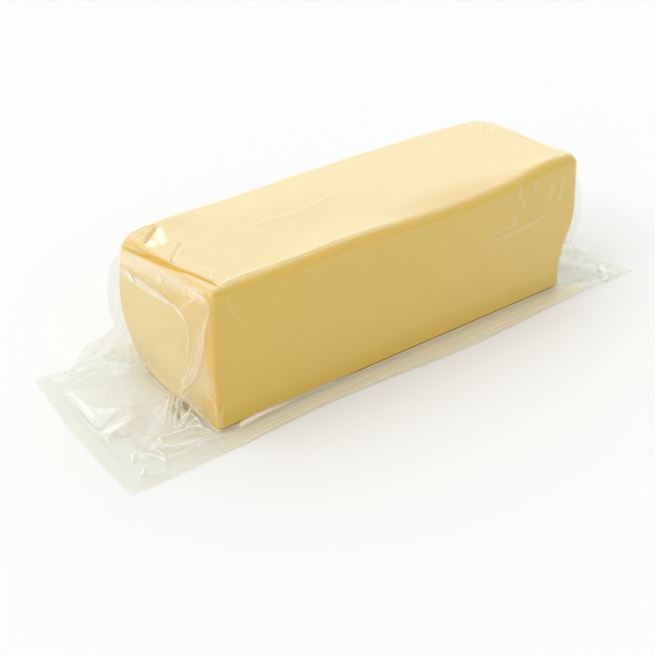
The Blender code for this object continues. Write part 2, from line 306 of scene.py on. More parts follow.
class Folds:
    """Relief, milk with painted highlight, and painted shade over points (u, v) of a sheet, gathered fold by
    fold.

    A fold is (points in mm, height in mm, half width in mm, milk and highlight). Its crest is milky and
    painted as a highlight, and a thin line of painted shade runs along its right side, where it leans over.
    It fades at both ends."""

    # How sharp a fold's crest is, and in half widths: how far it reaches, how wide its milky, painted
    # highlight is, and how far off its line of painted shade runs and how wide that is.
    SHARPNESS = 1.5
    REACH = 4.0
    CREST_WIDTH = 0.62
    LINE_PLACE = 1.4
    LINE_WIDTH = 0.5

    def __init__(self, u, v):
        self.u = u
        self.v = v
        self.relief = np.zeros_like(u)
        self.milk_and_highlight = np.zeros_like(u)
        self.shade = np.zeros_like(u)

    def near(self, path, room):
        """Which points are within so much room of the path's box."""
        low = path.min(0) - room
        high = path.max(0) + room
        across = (self.u > low[0]) & (self.u < high[0])
        up = (self.v > low[1]) & (self.v < high[1])
        return np.flatnonzero(across & up)

    def add(self, folds, share=None, lean=1.6, ends=0.15, line=0.12):
        share = np.ones_like(self.u) if share is None else share
        for points, height, half_width, milk_and_highlight in folds:
            path = curve_through(points)
            half_width = half_width * MM
            near = self.near(path, self.REACH * lean * half_width)
            if not len(near):
                continue
            off, side, along = nearest_on_path(self.u[near], self.v[near], path)
            fade = share[near] * smoothstep(along / ends) * smoothstep((1 - along) / ends)
            width = np.where(side < 0, half_width * lean, half_width)
            self.relief[near] += height * MM * fade * np.exp(-((off / width) ** self.SHARPNESS))
            crest = fade * milk_and_highlight * np.exp(-((off / (self.CREST_WIDTH * half_width)) ** 2))
            self.milk_and_highlight[near] = np.maximum(self.milk_and_highlight[near], crest)
            off_line = (off - self.LINE_PLACE * half_width) / (self.LINE_WIDTH * half_width)
            dark = fade * line * milk_and_highlight * np.exp(-(off_line**2)) * (side < 0)
            self.shade[near] = np.maximum(self.shade[near], dark)
        return self

    def patch(self, patches, share=None):
        """Patches of milk and painted highlight, and of painted shade: (corners in mm, soft edge in mm, milk
        and highlight, shade).
        """
        share = np.ones_like(self.u) if share is None else share
        for corners, soft, milk_and_highlight, shade in patches:
            path = np.array(corners + corners[:1], float) * MM
            near = self.near(path, 2 * soft * MM)
            if not len(near):
                continue
            u = self.u[near]
            v = self.v[near]
            off = nearest_on_path(u, v, path)[0]
            inside = np.zeros(len(near), bool)
            for (u0, v0), (u1, v1) in zip(path, path[1:]):
                rise = TINY if v1 == v0 else v1 - v0
                crosses = (v0 > v) != (v1 > v)
                inside ^= crosses & (u < u0 + (v - v0) * (u1 - u0) / rise)
            amount = share[near] * smoothstep(np.where(inside, off, -off) / (2 * soft * MM) + 0.5)
            self.milk_and_highlight[near] = np.maximum(self.milk_and_highlight[near], milk_and_highlight * amount)
            self.shade[near] = np.maximum(self.shade[near], shade * amount)
        return self


# ---- mesh helpers ----


def start_piece(name):
    """Makes the object that an operator has just added the piece called name."""
    obj = bpy.context.active_object
    obj.name = name
    obj.data.name = name
    return obj


def points_of(obj):
    co = np.zeros(len(obj.data.vertices) * 3)
    obj.data.vertices.foreach_get("co", co)
    return co.reshape(-1, 3)


def normals_of(obj):
    normals = np.zeros(len(obj.data.vertices) * 3)
    obj.data.vertices.foreach_get("normal", normals)
    return normals.reshape(-1, 3)


def set_points(obj, points):
    obj.data.vertices.foreach_set("co", points.ravel())
    obj.data.update()


def paint(obj, name, values):
    """Keeps one number for each point of the mesh, for the material to read."""
    attribute = obj.data.attributes.new(name, "FLOAT", "POINT")
    attribute.data.foreach_set("value", np.asarray(values, np.float32))


# One subdivision makes no more steps than this.
MOST_STEPS = 101


def add_divided_box(name, counts):
    """A box of side 1, centred, divided into so many steps along X, Y and Z.

    A count over MOST_STEPS is even, and is made by halving the box first."""
    bpy.ops.object.select_all(action="DESELECT")
    bpy.ops.mesh.primitive_cube_add(size=1.0)
    obj = start_piece(name)
    bpy.ops.object.mode_set(mode="EDIT")
    bpy.ops.mesh.select_mode(type="EDGE")
    for axis, count in enumerate(counts):
        for steps in (2, count // 2) if count > MOST_STEPS else (count,):
            bm = bmesh.from_edit_mesh(obj.data)
            for edge in bm.edges:
                run = edge.verts[1].co - edge.verts[0].co
                edge.select_set(abs(run[axis]) > 0.5 * run.length)
            bmesh.update_edit_mesh(obj.data)
            bpy.ops.mesh.subdivide(number_cuts=steps - 1)
    bpy.ops.object.mode_set(mode="OBJECT")
    return obj


def add_sheet(name, columns, rows):
    """A flat square sheet of side 1, centred, divided into columns and rows."""
    bpy.ops.object.select_all(action="DESELECT")
    bpy.ops.mesh.primitive_grid_add(x_subdivisions=columns, y_subdivisions=rows, size=1.0)
    return start_piece(name)


def dress(obj, finish):
    """Gives a piece its finish, and shades it smooth."""
    obj.data.materials.append(finish)
    bpy.ops.object.select_all(action="DESELECT")
    bpy.context.view_layer.objects.active = obj
    obj.select_set(True)
    bpy.ops.object.shade_smooth()


# ---- the loaf's form ----

# From how far turned to a side a surface counts as facing it, and over how much that grows to 1.
FACE_TURNED = 0.3
FACE_OVER = 0.4


def edge_radius(p):
    up = p[:, 2] / LOAF_HEIGHT
    radius = BOTTOM_RADIUS + (TOP_RADIUS - BOTTOM_RADIUS) * up
    to_front = (p[:, 0] + HALF_LENGTH) / FRONT_TOP_REACH
    radius += (FRONT_TOP_RADIUS - TOP_RADIUS) * up**FRONT_TOP_ONSET * np.exp(-(to_front**2))
    off = np.linalg.norm(p - np.array((-HALF_LENGTH, HALF_WIDTH, 0.0)), axis=1)
    slump = np.exp(-((off / SLUMPED_FOOT_REACH) ** 2))
    radius += (SLUMPED_FOOT_RADIUS - BOTTOM_RADIUS) * slump
    for side, extra, reach in BLUNT_CORNERS:
        off = np.linalg.norm(p - np.array((side * HALF_LENGTH, HALF_WIDTH, LOAF_HEIGHT)), axis=1)
        radius += extra * np.exp(-((off / reach) ** 2))
    return radius


def rounded(p):
    """Points of the plain box, moved to where the rounded box has them."""
    r = edge_radius(p)
    low = np.stack((r - HALF_LENGTH, r - HALF_WIDTH, r), axis=1)
    high = np.stack((HALF_LENGTH - r, HALF_WIDTH - r, LOAF_HEIGHT - r), axis=1)
    core = np.clip(p, low, high)
    out = p - core
    length = np.linalg.norm(out, axis=1)
    scale = np.where(length > NO_LENGTH, r / np.maximum(length, NO_LENGTH), 0.0)
    return core + out * scale[:, None]


def swell(z, most, at, fall, least):
    """How far an end bulges: most at one height, a millimetre less a fall away, never below the least."""
    return np.maximum(most - MM * ((z - at) / fall) ** 2, least)


def front_swell(y, z):
    far = np.clip((y + HALF_WIDTH) / LOAF[1], 0, 1)
    near_side = swell(z, *FRONT_SWELL_NEAR)
    far_side = swell(z, *FRONT_SWELL_FAR)
    return near_side + (far_side - near_side) * far + FRONT_PILLOW * (1 - (y / HALF_WIDTH) ** 2)


def back_swell(y, z):
    far = np.clip((y + HALF_WIDTH) / LOAF[1], 0, 1)
    up = smoothstep((z - BACK_SWELL_FROM) / BACK_SWELL_OVER)
    depth = BACK_UNDERCUT * (1 + (BACK_FAR_SHARE - 1) * far)
    return (BACK_SWELL + depth) * up - depth


def crease_line(y):
    """The crease's x, z and half width at these y."""
    line = np.array(CREASE_LINE[::-1]) * MM
    return [np.interp(y, line[:, 0], line[:, column]) for column in (1, 2, 3)]


def crease_share(p, wider=1.0):
    """1 at the bottom of the crease, 0 away from it."""
    x, z, half_width = crease_line(p[:, 1])
    off = np.hypot(p[:, 0] - x, p[:, 2] - z)
    return np.exp(-((off / (wider * half_width)) ** CREASE_FLATNESS))


def lip_share(p, reach):
    """1 along the lip just below the crease, 0 away from it."""
    line_z, half_width = crease_line(p[:, 1])[1:]
    below = (line_z - p[:, 2] - LIP_BELOW) / reach
    return np.clip(half_width / LIP_FULL_WIDTH, 0, 1) * np.exp(-(below**2))


def loaf_form(p, crease):
    """Points of the plain box, with its underside at z = 0, moved to where the loaf has them."""
    r = rounded(p)
    x, y, z = r.T
    up = np.clip(z / LOAF_HEIGHT, 0, 1)
    front = smoothstep((END_REACH - HALF_LENGTH - x) / END_REACH)
    back = smoothstep((x - HALF_LENGTH + END_REACH) / END_REACH)
    out = np.zeros_like(r)
    out[:, 0] = back * back_swell(y, z) - front * front_swell(y, z)
    belly = np.where(y > 0, FAR_BELLY, NEAR_BELLY)
    out[:, 1] = belly * np.sin(np.pi * up) * y / HALF_WIDTH
    near_side = np.clip(-y / HALF_WIDTH, 0, 1) ** NEAR_FOOT_ONSET
    out[:, 1] -= NEAR_FOOT * near_side * np.exp(-((z / NEAR_FOOT_HEIGHT) ** 2))
    for centre, reach, height in TOP_RELIEF:
        off = ((x - centre[0]) / reach[0]) ** 2 + ((y - centre[1]) / reach[1]) ** 2
        out[:, 2] += height * up**RELIEF_ONSET * np.exp(-off)
    moved = r + out
    half_width = crease_line(y)[2]
    moved[:, 0] -= front * LIP_BULGE * lip_share(moved, LIP_REACH)
    moved += np.array(CREASE_INWARD) * (crease * half_width * crease_share(moved))[:, None]
    moved[:, 2] += LOAF_FOOT
    return moved


def crease_on(p):
    """1 inside the crease, 0 outside it, for points of the plain box."""
    return crease_share(loaf_form(p, 0.0) - np.array((0, 0, LOAF_FOOT)), CREASE_SHADE_WIDTH)


def box_points(obj, stops, counts):
    """The points of a divided box of side 1, spread over the loaf's plain box between stops in mm."""
    p = points_of(obj) + 0.5
    return np.stack([spread(p[:, i], np.array(stops[i]) * MM, counts[i]) for i in range(3)], axis=1)


def facing(normals, axis, side, turned=FACE_TURNED, over=FACE_OVER):
    """1 where a surface faces to one side (-1 or 1) along an axis (0 to 2), and 0 where it faces away."""
    return smoothstep((side * normals[:, axis] - turned) / over)


# ---- the film's form ----


def web_lift(x, y):
    """How far the bag's flat part stands off the surface, as the solid has it."""
    outside = np.maximum(np.abs(x) - HALF_LENGTH, np.abs(y) - HALF_WIDTH)
    free = smoothstep((outside - FLAT_MARGIN) / LIFT_MARGIN)
    lift = np.zeros_like(x)
    for start, end, height, half_width in TAIL_FOLDS:
        run = np.subtract(end, start)
        t = np.clip(((x - start[0]) * run[0] + (y - start[1]) * run[1]) / (run @ run), 0, 1)
        off = np.hypot(x - start[0] - t * run[0], y - start[1] - t * run[1])
        lift += height * np.exp(-((off / half_width) ** 2))
    for length in HEM_RIPPLE_LENGTHS:
        lift += HEM_RIPPLE * (1 + np.sin(2 * np.pi * (x + HEM_RIPPLE_SLANT * y) / length))
    return free * lift


def web_place(x, y):
    """Points of the plain rectangle, moved to where the bag's uneven edges have them."""
    sway = HEM_SWAY * np.cos(2 * np.pi * (x - HEM_SWAY_START) / HEM_SWAY_LENGTH)
    y = y - sway * np.clip(np.abs(y) / abs(NEAR_HEM_Y), 0, 1) ** HEM_SWAY_ONSET
    slant = np.where(x < 0, FRONT_SEAL_SLANT, BACK_SEAL_SLANT)
    in_tail = np.clip((np.abs(x) - HALF_LENGTH) / (abs(FRONT_SEAL_X) - HALF_LENGTH), 0, 1)
    bow = FRONT_SEAL_BOW * in_tail * np.cos(np.pi * y / (FAR_HEM_Y - NEAR_HEM_Y))
    notch = BACK_SEAL_NOTCH * in_tail * np.exp(-(((y - BACK_SEAL_NOTCH_Y) / BACK_SEAL_NOTCH_REACH) ** 2))
    return x - np.where(x < 0, bow, notch) + slant * y * in_tail, y


# ---- shader maths ----


class Wire:
    """One output of a node. Sums, products and the like on it add Math nodes to its tree."""

    def __init__(self, tree, socket):
        self.tree = tree
        self.socket = socket

    def _math(self, operation, first, second):
        return add_node(self.tree, "ShaderNodeMath", {"operation": operation}, {0: first, 1: second})

    def __add__(self, other):
        return self._math("ADD", self, other)

    def __sub__(self, other):
        return self._math("SUBTRACT", self, other)

    def __rsub__(self, other):
        return self._math("SUBTRACT", other, self)

    def __mul__(self, other):
        return self._math("MULTIPLY", self, other)

    def __pow__(self, other):
        return self._math("POWER", self, other)

    def at_most(self, other):
        return self._math("MINIMUM", self, other)

    def at_least(self, other):
        return self._math("MAXIMUM", self, other)

    def sine(self):
        return self._math("SINE", self, 0.0)

    __radd__ = __add__
    __rmul__ = __mul__


def add_node(tree, kind, settings, sockets, output=0):
    """Adds a node, sets it, joins or fills its sockets, and returns one of its outputs as a Wire."""
    node = tree.nodes.new(kind)
    for setting, value in settings.items():
        setattr(node, setting, value)
    for name, value in sockets.items():
        if isinstance(value, Wire):
            tree.links.new(value.socket, node.inputs[name])
        else:
            node.inputs[name].default_value = value
    return Wire(tree, node.outputs[output])


def blend_colours(tree, share, first, second):
    settings = {"data_type": "RGBA", "blend_type": "MIX"}
    return add_node(tree, "ShaderNodeMix", settings, {"Factor": share, 6: first, 7: second}, output=2)


class Finish:
    """A new material whose nodes are added by type, settings and sockets."""

    def __init__(self, name):
        self.material = bpy.data.materials.new(name)
        self.material.use_nodes = True
        self.tree = self.material.node_tree
        self.tree.nodes.clear()
        self.place = self.node("ShaderNodeTexCoord", output="Object")

    def node(self, kind, settings=None, sockets=None, output=0):
        return add_node(self.tree, kind, settings or {}, sockets or {}, output)

    def noise(self, scale, detail=1.0, roughness=0.5):
        sockets = {"Vector": self.place, "Scale": scale, "Detail": detail, "Roughness": roughness}
        return self.node("ShaderNodeTexNoise", {}, sockets)

    def painted(self, name):
        return self.node("ShaderNodeAttribute", {"attribute_name": name}, output="Fac")

    def blend(self, share, first, second):
        return blend_colours(self.tree, share, first, second)

    def bump(self, height, strength, distance):
        sockets = {"Height": height, "Strength": strength, "Distance": distance}
        return self.node("ShaderNodeBump", {}, sockets)

    def shown(self, shader):
        output = self.tree.nodes.new("ShaderNodeOutputMaterial")
        self.tree.links.new(shader.socket, output.inputs["Surface"])
        return self.material


def rgb(red, green, blue):
    """A colour written in 0 to 255 as a screen shows it, as the shader's linear numbers."""
    parts = [c / 255 for c in (red, green, blue)]
    return tuple(c / 12.92 if c <= 0.04045 else ((c + 0.055) / 1.055) ** 2.4 for c in parts) + (1.0,)


CHEESE_BODY = (0.76, 0.518, 0.088, 1.0)
CHEESE_PALE = (0.80, 0.563, 0.110, 1.0)
# The colour of the painted shade in the crease, the dents and along the near upright edges.
CHEESE_SHADED = (0.81, 0.485, 0.040, 1.0)
FILM_WHITE = rgb(250, 250, 246)
FILM_SHADE = rgb(160, 142, 104)
# The colour of the painted warm light on the film: light from the cheese, sheen and highlights.
PAINTED_LIGHT_COLOUR = rgb(255, 244, 214)
FILM_CLEAR = (0.972, 0.974, 0.948, 1.0)
FILM_TIGHT = (0.985, 0.985, 0.975, 1.0)
FILM_DOUBLE = (0.925, 0.925, 0.895, 1.0)

# The cheese: how fine and how strong its mottling and its grain are.
MOTTLE_SCALE = 40.0
MOTTLE_LEAST = 0.1
MOTTLE_SPREAD = 0.6
GRAIN_SCALE = 300.0
GRAIN_STRENGTH = 0.05
GRAIN_DEPTH = 0.0001

# The film: how much it mirrors face on, and how fast that grows towards a glancing angle.
FACE_ON_GLOSS = 0.01
GLOSS_POWER = 4
FACING_BLEND = 0.5
CRINKLE_DETAIL = 2.0
CRINKLE_ROUGHNESS = 0.45
# How many times over a mark counts for its colour, and how much of the mirror it takes away.
PAINTED_LIGHT_COLOURS = 6.0
SHADE_COLOURS = 3.0
FILM_MIRROR = 0.9
MILK_AND_HIGHLIGHT_DULLS = 5.0
SHADE_DULLS = 2.0
PAINTED_LIGHT_DULLS = 3.0
HAZE_DULLS = 3.0
# The fine ripples: their length and depth, the part of the wave that is neither crest nor trough, how strong
# the painted highlight on the crests and the painted shade in the troughs show, and how the rings wander.
RIPPLE_LENGTH = 0.0017
RIPPLE_DEPTH = 0.00002
RIPPLE_FLAT = 0.2
RIPPLE_HIGHLIGHT = 0.34
RIPPLE_TROUGH_SHADE = 0.8
WANDER_SCALE = 160.0
WANDER = 3.0

# name: (colour of what shines through, haze, roughness, how strongly it mirrors, the most that it does,
# how fine its crinkles are, how deep they are)
FILMS = {
    "clinging_film": (FILM_TIGHT, 0.005, 0.16, 3.3, 0.32, 22.0, 0.00012),
    "folded_film": (FILM_TIGHT, 0.0, 0.12, 0.5, 0.30, 60.0, 0.0003),
    "loose_film": (FILM_CLEAR, 0.02, 0.10, 1.4, 1.0, 50.0, 0.0002),
    "standing_film": (FILM_DOUBLE, 0.06, 0.16, 0.30, 0.5, 30.0, 0.0001),
}


def cheese_finish():
    """Smooth, slightly waxy young Edam, faintly mottled, with painted shade in its crease, its dents and
    along its near upright edges.
    """
    f = Finish("young_edam")
    mottle = f.noise(MOTTLE_SCALE)
    colour = f.blend(mottle * MOTTLE_SPREAD + MOTTLE_LEAST, CHEESE_BODY, CHEESE_PALE)
    colour = f.blend(f.painted("painted_shade"), colour, CHEESE_SHADED)
    sockets = {
        "Base Color": colour,
        "Roughness": 0.42,
        "Specular IOR Level": 0.4,
        "Subsurface Weight": 0.3,
        "Subsurface Radius": (1.0, 0.62, 0.22),
        "Subsurface Scale": 0.003,
        "Normal": f.bump(f.noise(GRAIN_SCALE), GRAIN_STRENGTH, GRAIN_DEPTH),
    }
    return f.shown(f.node("ShaderNodeBsdfPrincipled", {}, sockets))


def film_finish(name, clear, haze, roughness, mirror, glare, crinkle, crinkle_depth):
    """Clear glossy film: it mirrors more at a glancing angle, is milky where it is doubled, and has a
    painted highlight where it is creased.

    Painted on it are milk with painted highlights, painted shade, painted warm light, tight, and the ripples
    of its
    gathered corners: how strong they are, and the distance that they count along. The ripples' crests get a
    painted highlight and their troughs painted shade."""
    f = Finish(name)
    wander = f.noise(WANDER_SCALE)
    phase = f.painted("ripple_run") * (2 * math.pi / RIPPLE_LENGTH) + wander * WANDER
    wave = phase.sine() * f.painted("ripple")
    crinkles = f.noise(crinkle, CRINKLE_DETAIL, CRINKLE_ROUGHNESS)
    normal = f.bump(crinkles * crinkle_depth + wave * RIPPLE_DEPTH, 1.0, 1.0)
    sockets = {"Blend": FACING_BLEND, "Normal": normal}
    fresnel = f.node("ShaderNodeLayerWeight", {}, sockets, output="Facing") ** GLOSS_POWER
    fresnel = fresnel * (1 - FACE_ON_GLOSS) + FACE_ON_GLOSS
    shade = f.painted("shade")
    milk_and_highlight = f.painted("milk_and_highlight")
    # Painted shade in the ripples' troughs takes away the film's mirror, and a painted highlight lies on
    # their crests.
    trough = (-RIPPLE_FLAT - wave).at_least(0.0) * RIPPLE_TROUGH_SHADE
    veil = (fresnel * mirror).at_most(glare) * (1 - f.painted("tight") - trough).at_least(0.0)
    painted_light = f.painted("painted_light") + (wave - RIPPLE_FLAT).at_least(0.0) * RIPPLE_HIGHLIGHT
    share = (veil + milk_and_highlight + shade + painted_light + haze).at_most(1.0)
    colour = f.blend((painted_light * PAINTED_LIGHT_COLOURS).at_most(1.0), FILM_WHITE, PAINTED_LIGHT_COLOUR)
    metallic = FILM_MIRROR - milk_and_highlight * MILK_AND_HIGHLIGHT_DULLS - shade * SHADE_DULLS - painted_light * PAINTED_LIGHT_DULLS - haze * HAZE_DULLS
    sockets = {
        "Base Color": f.blend((shade * SHADE_COLOURS).at_most(1.0), colour, FILM_SHADE),
        "Metallic": metallic.at_least(0.0),
        "Roughness": roughness,
        "Normal": normal,
    }
    gloss = f.node("ShaderNodeBsdfPrincipled", {}, sockets)
    through = f.node("ShaderNodeBsdfTransparent", {}, {"Color": clear})
    return f.shown(f.node("ShaderNodeMixShader", {}, {0: share, 1: through, 2: gloss}))


# ---- the loaf and the film that clings to it ----

# The divided boxes: where the steps change along X, Y and Z, in millimetres, and how many come between.
CHEESE_STOPS = ((-150, -144, -132, 143, 150), (-51, -44, 44, 51), (0, 4, 82, 95.5))
CHEESE_COUNTS = ((14, 20, 96, 8), (8, 84, 8), (5, 42, 26))
SKIN_STOPS = ((-150, -143, -122, 86, 143, 150), (-51, -44, 44, 51), (0, 5, 88, 95.5))
SKIN_COUNTS = ((14, 28, 66, 42, 8), (9, 92, 9), (5, 78, 16))

# Dents that the film presses into the cheese: (points (x, y), depth, half width, how strong the painted
# shade in them is).
TOP_DENTS = (
    (((-128.6, 40.1), (-135, 35.6), (-141.7, 30.6), (-149, 24.5)), 1.3, 1.5, 0.85),
    (((-128.2, 13.7), (-134.2, 8.3), (-141, 2.2), (-146.8, -3.7)), 0.5, 1.1, 0.40),
    (((-148, 38), (-142.5, 39), (-136, 40)), 0.25, 0.9, 0.40),
    (((-149.5, 34.5), (-144.5, 35), (-139, 36)), 0.25, 0.9, 0.40),
    (((-147.5, 41.4), (-142, 42.4), (-135, 43.6)), 0.25, 0.9, 0.35),
)


# The dents' relief, and in their crest marks how strong the painted shade in them is.
def dents(points, normals):
    return Folds(points[:, 0], points[:, 1]).add(TOP_DENTS, facing(normals, 2, 1), lean=1.0, ends=0.25)


# Painted shade along the upright edges at the near corners: (side along X, how strong, reach).
CORNER_SHADES = ((-1, 0.50, 0.0065), (1, 0.55, 0.0045))
CORNER_TOP = 0.090
CORNER_TOP_FADE = 0.010
# Over the foot of the front end's near corner less painted light is laid on the low front, so the film is
# clearer there.
CLEAR_REACH = 0.017
CLEAR_HEIGHT = 0.036
CLEAR_FADE = 0.020
CLEAR_SHARE = 0.75


def off_corner(plain, side):
    """How far points of the plain box are from the upright near edge on this side along X."""
    return np.hypot(plain[:, 0] - side * HALF_LENGTH, plain[:, 1] + HALF_WIDTH)


def make_cheese(finish):
    obj = add_divided_box("cheese_loaf", [sum(c) for c in CHEESE_COUNTS])
    plain = box_points(obj, CHEESE_STOPS, CHEESE_COUNTS)
    set_points(obj, loaf_form(plain, CHEESE_CREASE))
    points = points_of(obj)
    normals = normals_of(obj)
    pressed = dents(points, normals)
    # Painted shade: in the crease, in the dents and along the near upright edges.
    strength = np.interp(points[:, 1], *np.transpose(CREASE_SHADE))
    painted_shade = np.maximum(crease_on(plain) * strength, pressed.milk_and_highlight)
    for side, depth, reach in CORNER_SHADES:
        corner = depth * np.exp(-((off_corner(plain, side) / reach) ** 2))
        painted_shade = np.maximum(painted_shade, corner * smoothstep((CORNER_TOP - plain[:, 2]) / CORNER_TOP_FADE))
    set_points(obj, points - normals * (CHEESE_UNDER_FILM + pressed.relief)[:, None])
    paint(obj, "painted_shade", np.clip(painted_shade, 0, 1))
    dress(obj, finish)
    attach(obj, "root")
    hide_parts("edam_loaf")


# Creases of the film on each face of the loaf: (points, height, half width, milk and painted highlight on
# the crest), in millimetres.
FRONT_CREASES = (  # (y, z)
    (((51, 73), (46, 74), (34, 76), (25, 75.5), (8, 76), (-11, 75.5), (-17, 75)), 0.4, 1.0, 0.34),
    (((51, 72), (45, 73), (36, 72.5), (28, 72), (10, 73), (-6, 74), (-17, 75), (-24, 73)), 0.45, 1.1, 0.30),
    (((4, 76.4), (-6, 75.6), (-14, 75.2)), 0.3, 1.2, 0.40),
    (((36, 75.6), (33, 74.6), (30, 73.4), (27.5, 72.6)), 0.5, 1.0, 0.95),
    (((33, 76.6), (31.5, 74.5), (30, 72)), 0.4, 0.8, 0.80),
    (((-14, 75.5), (-22, 73), (-27, 70.5), (-29.5, 67), (-30.5, 59), (-29, 50), (-27, 43)),
        0.35, 0.9, 0.20),
    (((-29, 50), (-26, 40), (-21, 29), (-13, 15)), 0.2, 0.9, 0.05),
    (((9, 72), (10, 58), (12, 46), (18, 28)), 0.2, 0.7, 0.10),
    (((36, 70), (33, 46), (30, 22)), 0.2, 0.7, 0.05),
    (((34, 20), (27, 14), (20, 10.5), (11, 9.7)), 0.3, 0.7, 0.14),
    (((14, 78), (6, 80), (-2, 86), (-5, 91)), 0.3, 0.9, 0.12),
    (((2, 90), (-3, 84), (-10, 78)), 0.2, 0.7, 0.08),
    (((-40, 91), (-36, 88), (-30, 82), (-25, 77.5), (-20, 73)), 0.4, 0.9, 0.24),
    (((-38, 91), (-42, 92.4), (-46.5, 91.8), (-48.6, 88), (-48.6, 82), (-47, 75), (-44.5, 69)),
        0.5, 1.0, 0.26),
    (((-27, 92), (-36, 94), (-46, 95)), 0.3, 0.7, 0.18),
    (((-31, 90), (-38, 91.6), (-44, 93.5)), 0.25, 0.6, 0.18),
    (((-30, 88), (-36, 88.6), (-41, 90.4)), 0.25, 0.6, 0.18),
    (((-24, 91), (-27, 86), (-27, 81)), 0.2, 0.6, 0.12),
    (((-44, 28), (-51, 22), (-51, 10)), 0.5, 0.9, 0.18),
    # gathered over the foot of the near corner
    (((-7, 8), (-14, 9), (-24, 8.4), (-33, 6.5), (-42, 5.0), (-48, 4.4)), 0.7, 0.9, 0.32),
    (((-8, 4.6), (-17, 6.4), (-27, 5.6), (-36, 3.6), (-45, 2.2)), 0.6, 0.8, 0.34),
    (((-12, 14), (-16, 9), (-17, 3)), 0.4, 0.7, 0.30),
    (((-20, 13), (-23, 8), (-23, 2)), 0.4, 0.7, 0.26),
    (((-30, 11), (-31, 6), (-30, 1)), 0.4, 0.7, 0.24),
)
# Painted highlights and sheen on the front's film, and painted shade in the hollows at the near foot:
# (corners (y, z), soft edge, milk and highlight, shade).
FRONT_PATCHES = (
    (((49, 74), (30, 77), (8, 77), (-14, 76), (-16, 74), (8, 72), (30, 71), (49, 71)), 2.0, 0.22, 0.0),
    (((-9, 7), (-24, 8), (-44, 4.5), (-46, -2), (-9, -2)), 1.6, 0.08, 0.0),
    (((-12, 5), (-20, 6), (-27, 4.4), (-27, 1), (-12, 1)), 1.2, 0.0, 0.25),
    (((-31, 4), (-38, 3.2), (-38, 0.5), (-31, 0.5)), 1.0, 0.0, 0.15),
    (((-17, 76), (-25, 73.5), (-28, 69), (-24, 70), (-18, 73)), 1.2, 0.30, 0.0),
    (((-34, 94), (-44, 94.5), (-44, 90), (-36, 89)), 2.5, 0.12, 0.0),
)
TOP_CREASES = (  # (x, y)
    (((-130.4, 8), (-137.2, 3), (-143.5, -2), (-146, -8)), 0.35, 0.9, 0.16),
    (((-148.9, 36.4), (-143.4, 37.2), (-137.1, 38.2)), 0.3, 0.8, 0.14),
    (((-148.4, 39.8), (-142.6, 40.9), (-135.4, 42.1)), 0.3, 0.8, 0.14),
    (((-150.5, 32.8), (-145.4, 33), (-140.4, 34)), 0.3, 0.8, 0.12),
    (((-147.5, 43.2), (-141.7, 44.2), (-133.5, 45.6)), 0.3, 0.8, 0.14),
    (((-150.8, 28.8), (-147, 29), (-144.2, 30)), 0.3, 0.8, 0.10),
    (((-136, 44.6), (-132.1, 43.9), (-128.5, 43.7)), 0.3, 0.9, 0.30),
    (((-138.7, -45.7), (-133.4, -43.1), (-126, -42.6), (-108, -42.5)), 0.4, 0.9, 0.30),
    (((-112, -42.5), (-80, -44), (-56, -43), (-38, -42.5), (-8, -43.5)), 0.2, 0.8, 0.28),
    (((-145.7, -38.5), (-139.9, -30.8), (-132.5, -24.1)), 0.2, 0.8, 0.06),
    (((-144.1, -41.4), (-138.3, -33.7), (-132.1, -27.6)), 0.2, 0.8, 0.07),
    (((-146, -33.7), (-140.1, -25.9), (-133.5, -20.1)), 0.2, 0.8, 0.05),
    (((-60, 30), (-10, 34), (50, 30)), 0.12, 2.0, 0.012),
    (((20, 10), (70, 14), (118, 8)), 0.12, 2.0, 0.012),
    (((-90, 6), (-50, 2), (-8, 8)), 0.12, 2.0, 0.012),
    (((60, -22), (100, -16), (138, -20)), 0.12, 2.0, 0.015),
    (((90, 36), (120, 32), (142, 38)), 0.4, 1.2, 0.08),
    (((128, 24), (138, 30), (145, 42)), 0.4, 1.0, 0.12),
    (((132, 12), (140, 20), (147, 24)), 0.4, 1.0, 0.10),
    (((150.5, 44), (150.5, 24), (150, 4), (149.5, -16), (148, -32), (145, -44)), 1.3, 1.6, 0.30),
    (((152, -30), (151.5, -36), (149.5, -42), (146, -46.5)), 0.3, 1.0, 0.70),
)
